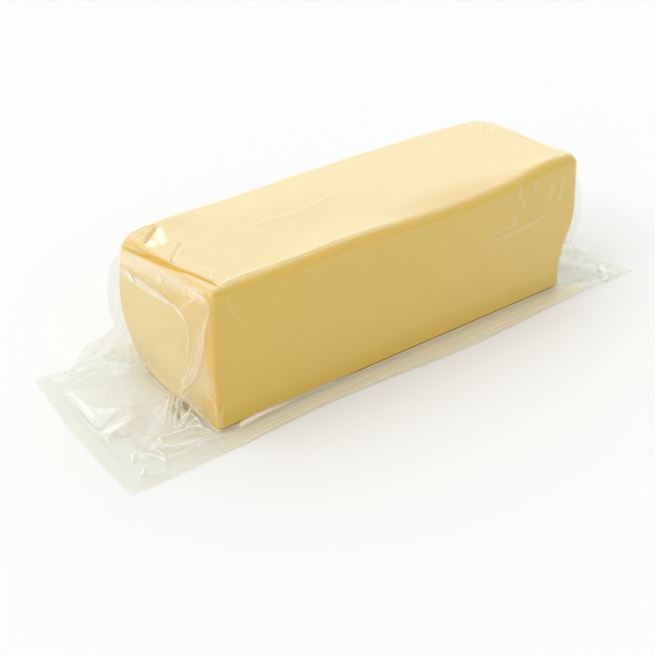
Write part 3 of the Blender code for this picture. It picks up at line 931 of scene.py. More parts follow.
# Painted highlights on the top's film near the front corner, and a dot of painted shade: (corners (x, y),
# soft edge, milk and highlight, shade).
TOP_PATCHES = (
    (((-130.5, 37.5), (-128, 36.5), (-135, 19.5), (-138.8, 18.8), (-141, 22), (-136.5, 29)),
        3.0, 0.60, 0.0),
    (((-142.8, 27), (-139.5, 26), (-142, 18.5), (-147.2, 20.6), (-146.5, 25)), 3.0, 0.55, 0.0),
    (((-139.5, 1), (-138, -3), (-146, -9), (-146, -4)), 2.6, 0.10, 0.0),
    (((-144.6, -0.6), (-145.6, -1.6), (-147.4, -4.2), (-146.4, -3.6)), 0.8, 0.0, 0.7),
)
NEAR_CREASES = (  # (x, z)
    (((-141, 92), (-137, 83), (-130, 70)), 0.4, 0.9, 0.11),
    (((-88, 56), (-57, 49), (-24, 40)), 0.2, 1.0, 0.05),
    (((-87, 64), (-64, 58), (-32, 51)), 0.2, 1.0, 0.05),
    (((62, 61), (89, 60.5), (122, 64)), 0.3, 0.9, 0.14),
    (((71, 58), (98, 60), (136, 65)), 0.3, 0.9, 0.14),
    (((66, 65), (80, 65), (98, 65)), 0.25, 0.9, 0.12),
    (((98, 95), (95, 82)), 0.3, 1.2, 0.20),
    (((112, 93), (109, 82)), 0.3, 1.2, 0.17),
    (((127, 87), (123, 73)), 0.3, 1.2, 0.20),
    (((101, 83), (98, 72)), 0.3, 1.2, 0.16),
    (((93, 73), (90, 63)), 0.3, 1.2, 0.16),
    (((138, 90), (135, 77), (133, 68)), 0.3, 1.2, 0.15),
    (((-144, 21), (-148, 16), (-149, 9), (-147, 2)), 0.4, 0.9, 0.20),
    (((-140, 3.2), (-120, 4.0), (-95, 3.4), (-70, 3.6), (-40, 2.6)), 0.5, 1.1, 0.45),
)
BACK_CREASES = (  # (y, z)
    (((-46, 84), (-38, 76), (-30, 66), (-24, 54)), 0.4, 1.0, 0.16),
    (((46, 86), (40, 76), (33, 67), (29, 52)), 0.4, 1.0, 0.16),
    (((-47, 71), (-36, 67), (-16, 65.5), (10, 67), (30, 65), (47, 69)), 0.4, 1.1, 0.18),
    (((-47, 67.5), (-30, 64), (0, 64), (32, 62.5), (47, 66)), 0.35, 1.0, 0.13),
    (((-42, 40), (-38, 28), (-36, 12)), 0.4, 0.9, 0.14),
    (((41, 42), (38, 26), (36, 10)), 0.4, 0.9, 0.14),
    (((-20, 28), (-18, 17), (-19, 4)), 0.3, 0.9, 0.10),
    (((4, 23), (6, 13), (5, 4)), 0.3, 0.9, 0.09),
    (((24, 30), (21, 18), (23, 4)), 0.3, 0.9, 0.10),
)
FAR_CREASES = (  # (x, z)
    (((140, 90), (136, 80), (128, 67)), 0.4, 1.2, 0.12),
    (((-137, 87), (-134, 78), (-128, 67)), 0.4, 1.2, 0.12),
    (((-62, 62), (-30, 57), (12, 50)), 0.2, 1.0, 0.05),
    (((-54, 55), (-24, 50), (10, 44)), 0.2, 1.0, 0.05),
    (((40, 72), (72, 66), (104, 64)), 0.2, 1.0, 0.06),
    (((56, 30), (90, 34), (118, 33)), 0.2, 1.0, 0.05),
)
# Below the line across the front end the film mirrors less, and painted warm light brightens it.
LOW_FRONT = 0.080
LOW_FRONT_FADE = 0.060
LOW_FRONT_PAINTED_LIGHT = 0.38
LOW_FRONT_DULL = 0.75
CREASE_DULL = 0.9
FOOT_DULL_HEIGHT = 0.004
# Painted light on the top, a pale sheen, and a painted highlight on the lip below the crease. (how far
# turned that way, over how much it grows)
TOP_PAINTED_SHEEN = 0.22
TOP_TURNED = (0.75, 0.2)
LIP_PAINTED_HIGHLIGHT = 0.42
LIP_LIGHT_REACH = 0.0036
LIP_TURNED = (0.1, 0.3)
# How far the film follows the cheese into its dents.
DENT_FOLLOWED = 0.9
# Painted sheen on the front's film, along its top band and its two upright edges: (corners (y, z), soft
# edge, share, 0), in millimetres.
FRONT_PAINTED_SHEEN = (
    (((50, 86), (30, 89.5), (12, 92.5), (0, 94), (-15, 95.5), (-46, 96), (-46, 88), (-15, 85), (10, 82),
        (50, 77)), 4.0, 0.35, 0.0),
    (((-47, 84), (-53, 84), (-53, 6), (-45, 6)), 2.0, 0.16, 0.0),
    (((54, 70), (46, 70), (42, 34), (50, 22)), 4.0, 0.16, 0.0),
)

# The fans of fine ripples where the film is gathered, with their painted highlights and shade: (middle,
# reach, strength, where the middle of the rings is from there), in millimetres.
FAN_ROUNDNESS = 1.5
FAN_LEAST = 0.02
RIPPLE_FANS = (
    ((-146, 40, 94), (13, 14, 9), 1.0, (16, 22, 0)),
    ((-147, 12, 96), (9, 14, 5), 0.8, (-30, -6, 0)),
    ((-151, -16, 86), (6, 14, 8), 0.7, (0, -16, 10)),
    ((-150, -40, 87), (7, 11, 7), 0.9, (0, 18, -14)),
    ((-146, -46, 30), (6, 7, 24), 0.4, (0, 20, -30)),
    ((147, -42, 91), (8, 9, 8), 0.8, (-20, -6, 6)),
    ((147, 42, 91), (8, 9, 8), 0.9, (-20, 8, 6)),
    ((146, 46, 30), (7, 8, 22), 0.5, (0, -20, -30)),
)

# The faces of the loaf: (axes of its lists, the axis and side that it faces, creases, patches).
FILM_FACES = (
    ((1, 2), (0, -1), FRONT_CREASES, FRONT_PATCHES),
    ((0, 1), (2, 1), TOP_CREASES, TOP_PATCHES),
    ((0, 2), (1, -1), NEAR_CREASES, ()),
    ((1, 2), (0, 1), BACK_CREASES, ()),
    ((0, 2), (1, 1), FAR_CREASES, ()),
)


def film_marks(points, normals):
    """The clinging film's creases over the faces of the loaf."""
    marks = Folds(points[:, 0], points[:, 1])
    for (across, up), (axis, side), creases, patches in FILM_FACES:
        share = facing(normals, axis, side)
        face = Folds(points[:, across], points[:, up]).add(creases, share).patch(patches, share)
        marks.relief += face.relief
        marks.milk_and_highlight = np.maximum(marks.milk_and_highlight, face.milk_and_highlight)
        marks.shade = np.maximum(marks.shade, face.shade)
    return marks


def paint_film(obj, marks, tight=0.0, painted_light=0.0):
    """Paints milk with painted highlights, painted shade and the gathered corners' ripples on a piece of
    film.

    Tight is 1 where the film is stuck down in a crease and doesn't shine. The painted light is warm light
    painted
    in a pale cheese colour: light from the cheese, sheen and highlights."""
    points = points_of(obj)
    ripple = np.zeros(len(points))
    run = np.zeros(len(points))
    for middle, reach, strength, offset in RIPPLE_FANS:
        off = (points - np.array(middle) * MM) / (np.array(reach) * MM)
        here = strength * np.exp(-np.sum(off**2, axis=1) ** FAN_ROUNDNESS)
        centre = (np.array(middle) + np.array(offset)) * MM
        run = np.where(here > ripple, np.linalg.norm(points - centre, axis=1), run)
        ripple = np.maximum(ripple, here)
    paint(obj, "tight", np.full(len(points), tight))
    paint(obj, "painted_light", np.full(len(points), painted_light))
    paint(obj, "ripple", np.where(ripple > FAN_LEAST, ripple, 0.0))
    paint(obj, "ripple_run", run)
    paint(obj, "milk_and_highlight", np.clip(marks.milk_and_highlight, 0, 1))
    paint(obj, "shade", np.clip(marks.shade, 0, 1))


def make_skin(finish):
    obj = add_divided_box("clinging_film", [sum(c) for c in SKIN_COUNTS])
    plain = box_points(obj, SKIN_STOPS, SKIN_COUNTS)
    set_points(obj, loaf_form(plain, FILM_CREASE))
    points = points_of(obj)
    normals = normals_of(obj)
    height = points[:, 2]
    in_crease = crease_on(plain)
    pressed = dents(points, normals)
    marks = film_marks(points, normals)
    marks.relief *= 1 - in_crease
    marks.milk_and_highlight *= 1 - in_crease
    set_points(obj, points + normals * (marks.relief - DENT_FOLLOWED * pressed.relief)[:, None])
    front = facing(normals, 0, -1)
    low_front = front * smoothstep((LOW_FRONT - height) / LOW_FRONT_FADE)
    at_foot = smoothstep((FOOT_DULL_HEIGHT - height) / FOOT_DULL_HEIGHT + 0.5)
    tight = (CREASE_DULL * in_crease, LOW_FRONT_DULL * low_front, pressed.milk_and_highlight, at_foot)
    clear = np.exp(-((off_corner(plain, -1) / CLEAR_REACH) ** 2))
    clear *= smoothstep((CLEAR_HEIGHT - height) / CLEAR_FADE)
    lip = lip_share(points - np.array((0, 0, LOAF_FOOT)), LIP_LIGHT_REACH)
    # Painted warm light: sheen on the front end's top band and upright edges, a highlight on the lip, light
    # low on the front end, and a pale sheen on the top.
    painted_light = (
        Folds(points[:, 1], height).patch(FRONT_PAINTED_SHEEN, front).milk_and_highlight,
        LIP_PAINTED_HIGHLIGHT * lip * facing(normals, 0, -1, *LIP_TURNED),
        LOW_FRONT_PAINTED_LIGHT * low_front * (1 - CLEAR_SHARE * clear),
        TOP_PAINTED_SHEEN * facing(normals, 2, 1, *TOP_TURNED) * (1 - pressed.milk_and_highlight),
    )
    paint_film(obj, marks, np.maximum.reduce(tight), np.maximum.reduce(painted_light) * (1 - in_crease))
    dress(obj, finish)
    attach(obj, "root")
    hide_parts("edam_loaf")


# ---- the bag's flat part ----

# Sharp creases of the bag's flat part: (points (x, y), height, half width, milk and painted highlight on the
# crest), in millimetres.
WEB_CREASES = (
    # the front tail's long wedge of raised film
    (((-202.3, 38.2), (-201.1, 30.7), (-199.9, 24), (-198.5, 17.8), (-194.5, 12.5), (-189, 7.2),
        (-182.6, 1.2)), 0.5, 0.6, 0.95),
    (((-202.4, 36.1), (-203.3, 28.1), (-204.3, 17.6), (-205.3, 7.2), (-205.4, -1.6), (-205.8, -4.7)),
        0.5, 0.6, 0.90),
    (((-183.5, -7.5), (-188.9, -9.4), (-196, -11.9), (-203.3, -14.8), (-206.8, -16)), 0.5, 0.6, 0.95),
    (((-198.9, 14.6), (-200.4, 4.7), (-202.8, -4.4), (-204.8, -13.7)), 0.4, 0.7, 0.30),
    (((-207.1, -11.8), (-207.8, -16.6), (-209.4, -23.9)), 0.6, 0.7, 0.50),
    (((-209, 33), (-210, 22), (-211, 6), (-211.5, -9)), 0.5, 0.7, 0.30),
    # the small leaf of folds by the near hem
    (((-204, -38.5), (-205.5, -42), (-207.5, -46)), 0.6, 0.9, 0.90),
    (((-205.5, -55.5), (-210, -59.8)), 0.6, 0.9, 0.90),
    (((-202.6, -45.4), (-199.1, -45.7), (-196, -48.6), (-193.7, -53.8), (-193.6, -60.9)), 0.8, 0.8, 1.0),
    (((-191.9, -39.8), (-190.8, -44.6), (-190.7, -52.4), (-192.7, -60.4)), 0.7, 0.7, 0.80),
    (((-193, -62), (-198.7, -64), (-204.2, -62), (-207.3, -57.1), (-205.7, -47)), 0.5, 0.6, 0.35),
    (((-193.5, -42.4), (-188, -40.3), (-181.1, -39.3)), 0.5, 0.5, 0.45),
    (((-194, -45.3), (-188.9, -42.8), (-184.6, -40.4)), 0.5, 0.5, 0.45),
    (((-197.1, -44.8), (-191.1, -41.8), (-185.5, -38.4)), 0.4, 0.5, 0.35),
    # the tongue that runs from the near corner
    (((-151.1, -48.4), (-155.7, -42.1), (-158.3, -37.3), (-164.3, -36.5), (-170.8, -35.4), (-177.8, -35.2),
        (-182.1, -35.8), (-184.5, -39.1), (-184.6, -43.7), (-181.4, -47.6), (-174.7, -50.3),
        (-165.9, -52.1), (-156.7, -53.4), (-147.7, -55.2)), 1.0, 0.8, 0.75),
    (((-180, -38.7), (-172.4, -40.2), (-165.3, -42.5), (-157.2, -45.6)), 0.4, 0.8, 0.18),
    (((-192.2, -57.5), (-184.2, -56.3), (-174.1, -56), (-162.4, -55.5), (-148.6, -56.5)), 0.7, 0.9, 0.35),
    # pleats that gather under the near corner of the front end
    (((-147.1, 6.4), (-153.6, -1.5), (-160.6, -10.3), (-168.7, -20.7), (-176.4, -29.6)), 1.1, 0.6, 0.60),
    (((-146.3, 2.9), (-152.9, -5), (-160.7, -14.5), (-169.1, -25.9), (-175.1, -32)), 1.0, 0.6, 0.55),
    (((-147.5, -3.6), (-154.6, -12.3), (-161, -21.3), (-168.3, -29.3)), 1.0, 0.6, 0.50),
    (((-158.5, 2.4), (-157, -4.6), (-154.5, -8.8), (-150.2, -10.1)), 0.8, 0.6, 0.50),
    (((-155.3, 10), (-153.8, 2.9), (-149, -0.1), (-146.6, -5.7)), 0.8, 0.6, 0.45),
    (((-154.3, -9.6), (-150.9, -8.8), (-149, -11.7), (-149.5, -17.1), (-150.8, -22.4), (-154.5, -23.7),
        (-159.9, -26.3), (-164.8, -29.4)), 1.5, 0.8, 0.90),
    (((-149.2, -10.9), (-148, -14.7), (-148.6, -21.4), (-150.2, -27.1)), 1.2, 0.7, 0.70),
    (((-163.3, -30.5), (-157.4, -27), (-153.7, -25.7), (-153.7, -31.3), (-154.7, -37.4)), 1.3, 0.8, 0.75),
    (((-164.3, -36.5), (-158.4, -33), (-155, -32.3), (-154.3, -37.8), (-155.2, -42.5)), 1.2, 0.8, 0.70),
    (((-169.2, -34), (-163.1, -31.3), (-159.2, -29.7)), 0.9, 0.7, 0.60),
    (((-163, -38.9), (-156.9, -38.4), (-155.3, -43.8), (-153.4, -50.7)), 0.8, 0.8, 0.50),
    (((-150, -4), (-160, -7), (-171, -12), (-180, -13)), 0.7, 1.6, 0.20),
    (((-150, 3), (-161, 0), (-172, -3)), 0.5, 1.4, 0.12),
    # by the far corner of the front end
    (((-194.5, 61.2), (-186.9, 60), (-183.2, 60.1), (-178, 58.3)), 1.0, 0.9, 0.85),
    (((-193, 68.9), (-184.8, 63.9), (-178.1, 60.1)), 0.6, 0.8, 0.45),
    (((-190.5, 62.8), (-185.4, 67.5), (-181, 72)), 0.8, 0.9, 0.35),
    (((-171, 58), (-180, 50), (-193, 47)), 0.6, 1.4, 0.12),
    # the strip that stands at the near foot, and the hems
    (((-139, -54.4), (-134.9, -53.2), (-128.3, -52.6), (-120.4, -52.3), (-108, -52)), 1.5, 1.2, 0.80),
    (((-114, -52.2), (-102.8, -51.9), (-90.1, -51.9), (-75.1, -52.2), (-56.3, -52.4)), 0.9, 0.8, 0.55),
    (((-60, -52.8), (-20, -52.6), (40, -52.8), (100, -52.6), (146, -53)), 0.6, 0.8, 0.35),
    (((-152.3, -60.9), (-134.5, -60.7), (-95.2, -59.3), (-60.6, -60.3), (-10, -59.5), (60, -60.6),
        (150, -60)), 0.25, 1.2, 0.14),
    (((-159.3, -65.9), (-137.6, -65.4), (-98.8, -64.2), (-63.5, -64.9), (-10, -63.8), (60, -65),
        (150, -64.4)), 0.25, 1.1, 0.14),
    (((-212, -67), (-190, -68.2), (-166, -69.4), (-140, -69.2), (-109, -67.2), (-69, -66.7), (0, -67),
        (150, -67)), 0.3, 0.8, 0.25),
    (((-152, 57), (-110, 58), (-40, 56.5), (40, 58), (110, 57), (150, 58.5)), 0.9, 0.9, 0.40),
    (((-160, 64), (-90, 65.2), (0, 63.6), (80, 65), (160, 64.4)), 0.6, 0.9, 0.30),
    # the back tail
    (((192.7, -42), (185.8, -50.4), (176.8, -62.6), (171.8, -70.1)), 0.8, 2.0, 0.62),
    (((194.6, -47), (188, -55), (180, -66)), 0.2, 1.2, 0.16),
    (((156, -30), (168, -31), (180, -27), (193, -27)), 0.6, 2.2, 0.20),
    (((170, -36), (178, -38), (186, -36), (192, -38)), 0.5, 1.6, 0.30),
    (((155, -6), (166, -3), (176, -7), (190, 0)), 0.6, 2.0, 0.24),
    (((156, 22), (170, 18), (182, 25), (193, 20)), 0.6, 2.0, 0.26),
    (((158, 44), (170, 42), (184, 48)), 0.5, 1.8, 0.22),
    (((158, -44), (163, -52), (165, -62)), 0.5, 1.6, 0.20),
)
WEB_PATCHES = (
    # the painted glow of light inside the front tail's wedge and round it
    (((-202.1, 38), (-198.2, 18.3), (-187.9, 6.6), (-193, 2.9), (-201.8, -2.5), (-206, -2.6),
        (-205, 13.9)), 3.0, 0.62, 0.0),
    (((-201.6, 33), (-199, 19.5), (-198.6, 11), (-205.3, 3.2), (-204.8, 16.6)), 2.6, 0.80, 0.0),
    (((-187.5, -7.5), (-191, -6.4), (-203.5, -7.9), (-207.2, -14.4), (-205.4, -16.2)), 2.6, 0.50, 0.0),
    (((-198, 20), (-184, 4), (-182, -9), (-190, -24), (-205, -22), (-207, -2)), 7.0, 0.26, 0.0),
    (((-154, 44), (-168, 48), (-186, 30), (-188, -4), (-172, -26), (-154, -8)), 9.0, 0.22, 0.0),
    (((-189, -8), (-197, -5), (-202, -11), (-198, -21), (-190, -17)), 3.0, 0.55, 0.0),
    (((-186, -16), (-200, -20), (-200, -36), (-186, -32)), 7.0, 0.16, 0.0),
    # painted shade in the hollows between the pleats, and painted highlights on the pleats and by the far
    # corner
    (((-150.9, -11.7), (-149.3, -14.4), (-150.5, -19.1), (-153.8, -21.4), (-153.7, -17.3)), 1.0, 0.0, 0.55),
    (((-151.9, -23), (-151.5, -26.8), (-152.5, -32.9), (-154, -32.4), (-153.6, -27.2)), 0.8, 0.0, 0.25),
    (((-153.4, -34.3), (-153, -38.1), (-153.2, -42.7), (-155.1, -41.9), (-155.1, -38.5)), 0.8, 0.0, 0.15),
    (((-157.7, -18.3), (-160.3, -24.6), (-163.6, -27.5), (-161, -21.3)), 1.2, 0.0, 0.35),
    (((-165.6, -20.4), (-156.2, -19.5), (-156.9, -27.3), (-165.2, -34.5), (-171, -31.2)), 3.0, 0.35, 0.0),
    (((-156.5, -12), (-158.5, -17), (-161, -18), (-158.5, -11)), 1.5, 0.0, 0.25),
    (((-163, 62), (-171, 57), (-177, 63), (-168, 69)), 4.0, 0.25, 0.0),
    # a painted highlight on the raised strip at the near foot
    (((-138, -53.4), (-131.5, -52), (-120, -51.6), (-100, -51.2), (-84, -51.4), (-103, -53.2), (-117, -54),
        (-129, -55), (-137, -56)), 0.9, 0.75, 0.0),
    # painted highlights on the back tail: its bright band, its smooth corner and the film beside it
    (((190, -44.5), (184.5, -49), (172.5, -65), (167.5, -70), (174.5, -71), (180.5, -62), (188.5, -52)),
        2.0, 0.55, 0.0),
    (((200, -62), (194, -50), (186, -58), (180, -70), (200, -70)), 4.0, 0.26, 0.0),
    (((188, -20), (170, -22), (156, -12), (156, -44), (176, -42)), 7.0, 0.24, 0.0),
    (((177, -48), (172, -57), (166, -69), (154, -69), (156, -50), (166, -44)), 3.0, 0.16, 0.0),
)


def edge_seal(x):
    """1 in the heat-sealed bands along the bag's ends, 0 elsewhere."""
    front = smoothstep((FRONT_SEAL_X + SEAL_BAND - x) / SEAL_EDGE + 0.5)
    back = smoothstep((x - BACK_SEAL_X + SEAL_BAND) / SEAL_EDGE + 0.5)
    return np.maximum(front, back)


def add_web(name, columns, rows):
    """A sheet over the whole bag, x and y of its points where the bag has them, and 1 where it is sealed."""
    obj = add_sheet(name, sum(columns), sum(rows))
    p = points_of(obj) + 0.5
    x = spread(p[:, 0], (FRONT_SEAL_X, -HALF_LENGTH, HALF_LENGTH, BACK_SEAL_X), columns)
    y = spread(p[:, 1], (NEAR_HEM_Y, -HALF_WIDTH, HALF_WIDTH, FAR_HEM_Y), rows)
    return obj, *web_place(x, y), edge_seal(x)


def make_lower_web(finish):
    obj, x, y, sealed = add_web("lower_web", LOWER_WEB_COLUMNS, LOWER_WEB_ROWS)
    z = LOWER_WEB_FLOOR + LOWER_WEB_LIFT * web_lift(x, y)
    set_points(obj, np.stack((x, y, z), axis=1))
    marks = Folds(x, y)
    marks.milk_and_highlight = LOWER_SEAL_MILK * sealed
    paint_film(obj, marks)
    dress(obj, finish)
    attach(obj, "root")
    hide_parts("film_bottom_web")


# The upper web rises where it meets the loaf's foot. Painted warm light lies round the loaf: bounce from the
# cheese on the hems, light over the shade at its foot, and its reflection over the tails.
FOOT_RISE = 0.0012
FOOT_RISE_REACH = 0.0025
FOOT_STEPS = 24
FOOT_LEVEL = 0.0012
# Where the film is gathered against the front end's foot: (x, y, reach along x, reach along y).
GATHER = (-0.150, -0.031, 0.010, 0.017)
GATHER_RISE = 0.0024
UNDER_LOAF = 0.016
FOOT_PAINTED_LIGHT = 0.55
FOOT_PAINTED_LIGHT_FROM = 0.0004
FOOT_PAINTED_LIGHT_OVER = 0.0016
TAIL_PAINTED_REFLECTION = 0.22
TAIL_PAINTED_REFLECTION_OVER = 0.016
HEM_PAINTED_BOUNCE = 0.36
HEM_PAINTED_BOUNCE_PAST = 0.012
HEM_PAINTED_BOUNCE_FADE = 0.020
HEM_PAINTED_BOUNCE_OVER = 0.002


def off_foot(x, y):
    """How far points of the flat film are from the line where the loaf's foot meets it."""
    share = np.linspace(0.0, 1.0, FOOT_STEPS, endpoint=False)
    corners = ((-1, -1), (1, -1), (1, 1), (-1, 1), (-1, -1))
    sides = [np.outer(1 - share, a) + np.outer(share, b) for a, b in zip(corners, corners[1:])]
    flat = np.vstack(sides) * (HALF_LENGTH, HALF_WIDTH)
    around = np.column_stack((flat, np.full(len(flat), FOOT_LEVEL)))
    path = loaf_form(around, FILM_CREASE)[:, :2]
    return nearest_on_path(x, y, np.vstack((path, path[:1])))[0]


def foot_rise(x, y, off):
    """How high the upper web stands where it meets the loaf's foot."""
    gathered = ((x - GATHER[0]) / GATHER[2]) ** 2 + ((y - GATHER[1]) / GATHER[3]) ** 2
    return (FOOT_RISE + GATHER_RISE * np.exp(-gathered)) * np.exp(-off / FOOT_RISE_REACH)


def make_upper_web(finish):
    obj, x, y, sealed = add_web("upper_web", UPPER_WEB_COLUMNS, UPPER_WEB_ROWS)
    marks = Folds(x, y).add(WEB_CREASES, line=0.06).patch(WEB_PATCHES)
    lift = (UPPER_WEB_LIFT * web_lift(x, y) + marks.relief) * (1 - SEAL_FLATTENS * sealed)
    off = off_foot(x, y)
    z = LOWER_WEB_FLOOR + UPPER_WEB_GAP * (1 - SEAL_CLOSES * sealed) + lift + foot_rise(x, y, off)
    set_points(obj, np.stack((x, y, z), axis=1))
    marks.milk_and_highlight = np.maximum(marks.milk_and_highlight, UPPER_SEAL_MILK * sealed)
    # Painted warm light: bounce from the cheese on the hems, light over the shade at the loaf's foot, and
    # the cheese's reflection over the tails.
    beside = smoothstep((HALF_LENGTH + HEM_PAINTED_BOUNCE_PAST - np.abs(x)) / HEM_PAINTED_BOUNCE_FADE)
    in_hem = beside * smoothstep((np.abs(y) - HALF_WIDTH) / HEM_PAINTED_BOUNCE_OVER)
    at_foot = 1 - smoothstep((off - FOOT_PAINTED_LIGHT_FROM) / FOOT_PAINTED_LIGHT_OVER)
    by_foot = 1 - smoothstep(off / TAIL_PAINTED_REFLECTION_OVER)
    painted_light = np.maximum.reduce((HEM_PAINTED_BOUNCE * in_hem, FOOT_PAINTED_LIGHT * at_foot, TAIL_PAINTED_REFLECTION * by_foot))
    paint_film(obj, marks, painted_light=painted_light * (1 - marks.milk_and_highlight))
    bpy.ops.object.mode_set(mode="EDIT")
    bm = bmesh.from_edit_mesh(obj.data)
    for face in bm.faces:
        middle = face.calc_center_median()
        under = abs(middle.x) < HALF_LENGTH - UNDER_LOAF and abs(middle.y) < HALF_WIDTH - UNDER_LOAF
        face.select_set(under)
    bmesh.update_edit_mesh(obj.data)
    bpy.ops.mesh.delete(type="FACE")
    bpy.ops.object.mode_set(mode="OBJECT")
    dress(obj, finish)
    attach(obj, "root")
    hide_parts("film_bottom_web")


# ---- the film that stands at three corners, and the film that is folded over the fourth ----


def fin_width(z, belly, flare):
    from_middle = (z - FIN_BELLY_MIDDLE) / FIN_BELLY_REACH
    upright = belly * np.sqrt(np.maximum(1 - from_middle**2, 0.0))
    return upright + flare * (1 - smoothstep(z / FIN_FLARE_HEIGHT)) + FIN_LEAST


# Streaks of the standing film: (points (outwards, up), height, half width, milk and painted highlight), in
# millimetres.
FIN_STREAKS = (
    (((32, 18), (22, 15.5), (14, 17.5), (7, 21.5), (2, 27)), 0.6, 1.2, 0.55),
    (((22, 11), (14, 14.5), (8.7, 17), (3, 21)), 0.6, 1.2, 0.50),
    (((7, 14), (8.5, 8), (10, 3), (11.5, 0)), 0.6, 1.6, 0.75),
    (((19, 13), (17, 7), (14, 2)), 0.7, 1.1, 0.6),
    (((1.5, 57), (3, 44), (4.5, 32), (4, 24)), 0.5, 0.9, 0.4),
    (((6.5, 64), (7.5, 50), (7, 36), (10, 26)), 0.5, 0.9, 0.35),
    (((34, 8), (27, 5), (20, 1)), 0.8, 1.0, 0.7),
)
# Painted highlights on the fins' flare.
FIN_PATCHES = (
    (((0, 30), (12, 24), (34, 16), (40, 4), (10, 0), (-2, 4)), 6.0, 0.28, 0.0),
    (((20, 15), (10, 18), (4, 22), (2, 17), (10, 13)), 3.0, 0.35, 0.0),
)


def make_fin(name, finish):
    node, side_x, side_y, heading, belly, flare, streaks = FINS[name]
    turn = math.radians(heading)
    outward = np.array((math.cos(turn), math.sin(turn), 0.0))
    across = np.array((-outward[1], outward[0], 0.0))
    obj = add_sheet(name, FIN_COLUMNS, FIN_ROWS)
    p = points_of(obj)
    share = p[:, 0] + 0.5
    z = (p[:, 1] + 0.5) * FIN_TOP
    corner = np.column_stack((np.tile((side_x * HALF_LENGTH, side_y * HALF_WIDTH), (len(z), 1)), z))
    width = fin_width(z, belly, flare)
    place = loaf_form(corner, FILM_CREASE) + outward * (share * width - FIN_SUNK)[:, None]
    wave = np.zeros_like(z)
    for length, lean, part in FIN_WAVES:
        wave += part * np.sin(2 * np.pi * (z + lean * place[:, 0]) / length)
    flared = 1 - smoothstep(z / FIN_FLARE_HEIGHT)
    place += across * ((FIN_WAVE + FLARE_WAVE * flared) * share * wave)[:, None]
    low = web_lift(place[:, 0], place[:, 1]) + FIN_ABOVE_WEB
    place[:, 2] = low + z * (FIN_TOP - low) / FIN_TOP
    marks = Folds(share * width, z).add(FIN_STREAKS, np.full_like(z, streaks)).patch(FIN_PATCHES)
    place += across * marks.relief[:, None]
    set_points(obj, place)
    marks.milk_and_highlight = np.maximum(marks.milk_and_highlight, FIN_RIM_HIGHLIGHT * share**FIN_RIM_NARROWNESS)
    paint_film(obj, marks)
    dress(obj, finish)
    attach(obj, "root")
    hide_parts(node)


def flap_edge(z):
    """The y of the flap's free edge at this height."""
    high = (FLAP_TOP - z) / (FLAP_TOP - FLAP_SHOULDER_Z)
    low = np.clip(1 - z / FLAP_SHOULDER_Z, 0, 1)
    above = FLAP_ROOT_Y + (FLAP_SHOULDER_Y - FLAP_ROOT_Y) * high
    below = FLAP_SHOULDER_Y + (FLAP_FOOT_Y - FLAP_SHOULDER_Y) * low**FLAP_FOOT_ONSET
    return np.where(z > FLAP_SHOULDER_Z, above, below)


FLAP_CREASES = (  # (y, z)
    (((-45.5, 74), (-44.2, 70), (-40.3, 62), (-35.4, 52), (-31.5, 42), (-25.8, 30), (-16.7, 18.7),
        (-9, 8)), 0.4, 1.0, 0.22),
    (((-47.2, 80), (-46.6, 74), (-45.6, 61), (-42.6, 50), (-38.4, 39.5), (-31.8, 29.6), (-22.7, 20),
        (-13.6, 11)), 0.5, 1.1, 0.30),
    (((-43, 61), (-38.5, 50), (-34, 40), (-27.5, 29), (-18, 17.5)), 0.3, 0.9, 0.14),
    (((-29, 40), (-24, 28), (-16, 17), (-9, 8.5)), 0.4, 0.8, 0.20),
    (((-24, 22), (-17, 14), (-11, 8), (-6, 5), (-4, 1)), 0.4, 0.8, 0.34),
    (((-18, 16), (-13, 10), (-10, 5), (-9, 1)), 0.5, 0.8, 0.40),
    (((-26, 18), (-19, 11), (-15, 6), (-14, 1)), 0.4, 0.8, 0.30),
)
# Painted warm light, in the cheese's colour, on the folded film.
FLAP_PAINTED_LIGHT = (
    (((-45.2, 72), (-46.2, 66), (-43.6, 54), (-38.2, 41), (-33, 37), (-36.5, 48), (-41.5, 61)),
        1.6, 0.24, 0.0),
    (((-36, 44), (-39, 40), (-30.6, 28), (-20, 17), (-13, 9.5), (-9.8, 9), (-16.7, 19.7), (-25.8, 32)),
        2.2, 0.34, 0.0),
)


def make_flap(finish):
    obj = add_sheet("folded_film_front", FLAP_COLUMNS, FLAP_ROWS)
    p = points_of(obj)
    z = (p[:, 1] + 0.5) * FLAP_TOP
    root = FLAP_ROOT_Y - FLAP_PAST_ROOT
    edge = np.maximum(flap_edge(z), FLAP_ROOT_Y + FLAP_LEAST)
    y = root + (edge - root) * (p[:, 0] + 0.5)
    plain = np.stack((np.full_like(z, -HALF_LENGTH), y, z), axis=1)
    place = loaf_form(plain, FILM_CREASE)
    marks = Folds(y, z).add(FLAP_CREASES)
    place[:, 0] -= FLAP_OFF_SKIN + marks.relief
    set_points(obj, place)
    paint_film(obj, marks, painted_light=Folds(y, z).patch(FLAP_PAINTED_LIGHT).milk_and_highlight * (1 - marks.milk_and_highlight))
    dress(obj, finish)
    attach(obj, "root")
    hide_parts("film_flap_front")


# ---- the stage ----


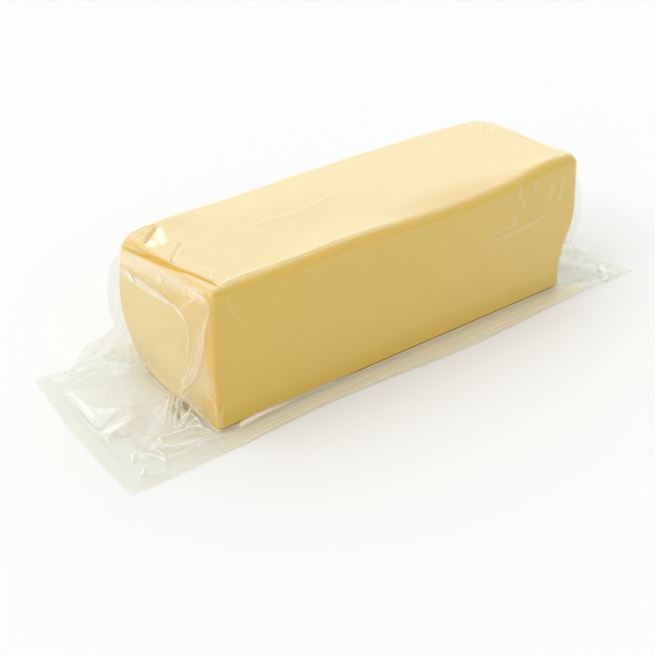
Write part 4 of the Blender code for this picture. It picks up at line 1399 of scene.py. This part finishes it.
def add_camera():
    azimuth = math.radians(CAMERA_AZIMUTH)
    elevation = math.radians(CAMERA_ELEVATION)
    roll = math.radians(CAMERA_ROLL)
    back = Vector(
        (
            math.sin(azimuth) * math.cos(elevation),
            -math.cos(azimuth) * math.cos(elevation),
            math.sin(elevation),
        )
    )
    right = Vector((0, 0, 1)).cross(back).normalized()
    up = back.cross(right)
    turned_right = right * math.cos(roll) + up * math.sin(roll)
    turned_up = up * math.cos(roll) - right * math.sin(roll)
    matrix = Matrix((turned_right, turned_up, back)).transposed().to_4x4()
    matrix.translation = Vector(CAMERA_PLACE)
    bpy.ops.object.camera_add()
    camera = bpy.context.active_object
    camera.name = "camera"
    camera.matrix_world = matrix
    camera.data.lens = CAMERA_LENS
    camera.data.sensor_width = CAMERA_SENSOR
    bpy.context.scene.camera = camera


def add_light():
    for name, (direction, strength, angle) in LIGHTS.items():
        bpy.ops.object.light_add(type="SUN", location=(0, 0, 1))
        lamp = bpy.context.active_object
        lamp.name = name
        lamp.rotation_euler = Vector(direction).to_track_quat("Z", "Y").to_euler()
        lamp.data.energy = strength
        lamp.data.angle = math.radians(angle)
    world = bpy.data.worlds.new("studio")
    world.use_nodes = True
    tree = world.node_tree
    direction = add_node(tree, "ShaderNodeTexCoord", {}, {}, output="Generated")
    sockets = {0: direction, 1: Vector(STUDIO_BACK).normalized()}
    settings = {"operation": "DOT_PRODUCT"}
    towards_back = add_node(tree, "ShaderNodeVectorMath", settings, sockets, output="Value")
    share = towards_back.at_least(0.0) ** STUDIO_BACK_ONSET
    colour = blend_colours(tree, share, STUDIO_WHITE, STUDIO_TINT)
    level = share * STUDIO_BACK_LEVEL + STUDIO_LEVEL
    background = tree.nodes["Background"]
    tree.links.new(colour.socket, background.inputs["Color"])
    tree.links.new(level.socket, background.inputs["Strength"])
    bpy.context.scene.world = world
    bpy.context.scene.view_settings.view_transform = "Standard"


def add_floor():
    bpy.ops.object.select_all(action="DESELECT")
    bpy.ops.mesh.primitive_plane_add(size=FLOOR_SIZE)
    floor = start_piece("floor")
    f = Finish("white_floor")
    colour = (*FLOOR_COLOUR, 1.0)
    sockets = {"Base Color": colour, "Roughness": 0.9, "Specular IOR Level": 0.1}
    floor.data.materials.append(f.shown(f.node("ShaderNodeBsdfPrincipled", {}, sockets)))


def main():
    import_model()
    add_camera()
    add_light()
    add_floor()
    films = {name: film_finish(name, *settings) for name, settings in FILMS.items()}
    make_cheese(cheese_finish())
    make_skin(films["clinging_film"])
    make_lower_web(films["loose_film"])
    make_upper_web(films["loose_film"])
    for name in FINS:
        make_fin(name, films["standing_film"])
    make_flap(films["folded_film"])


main()
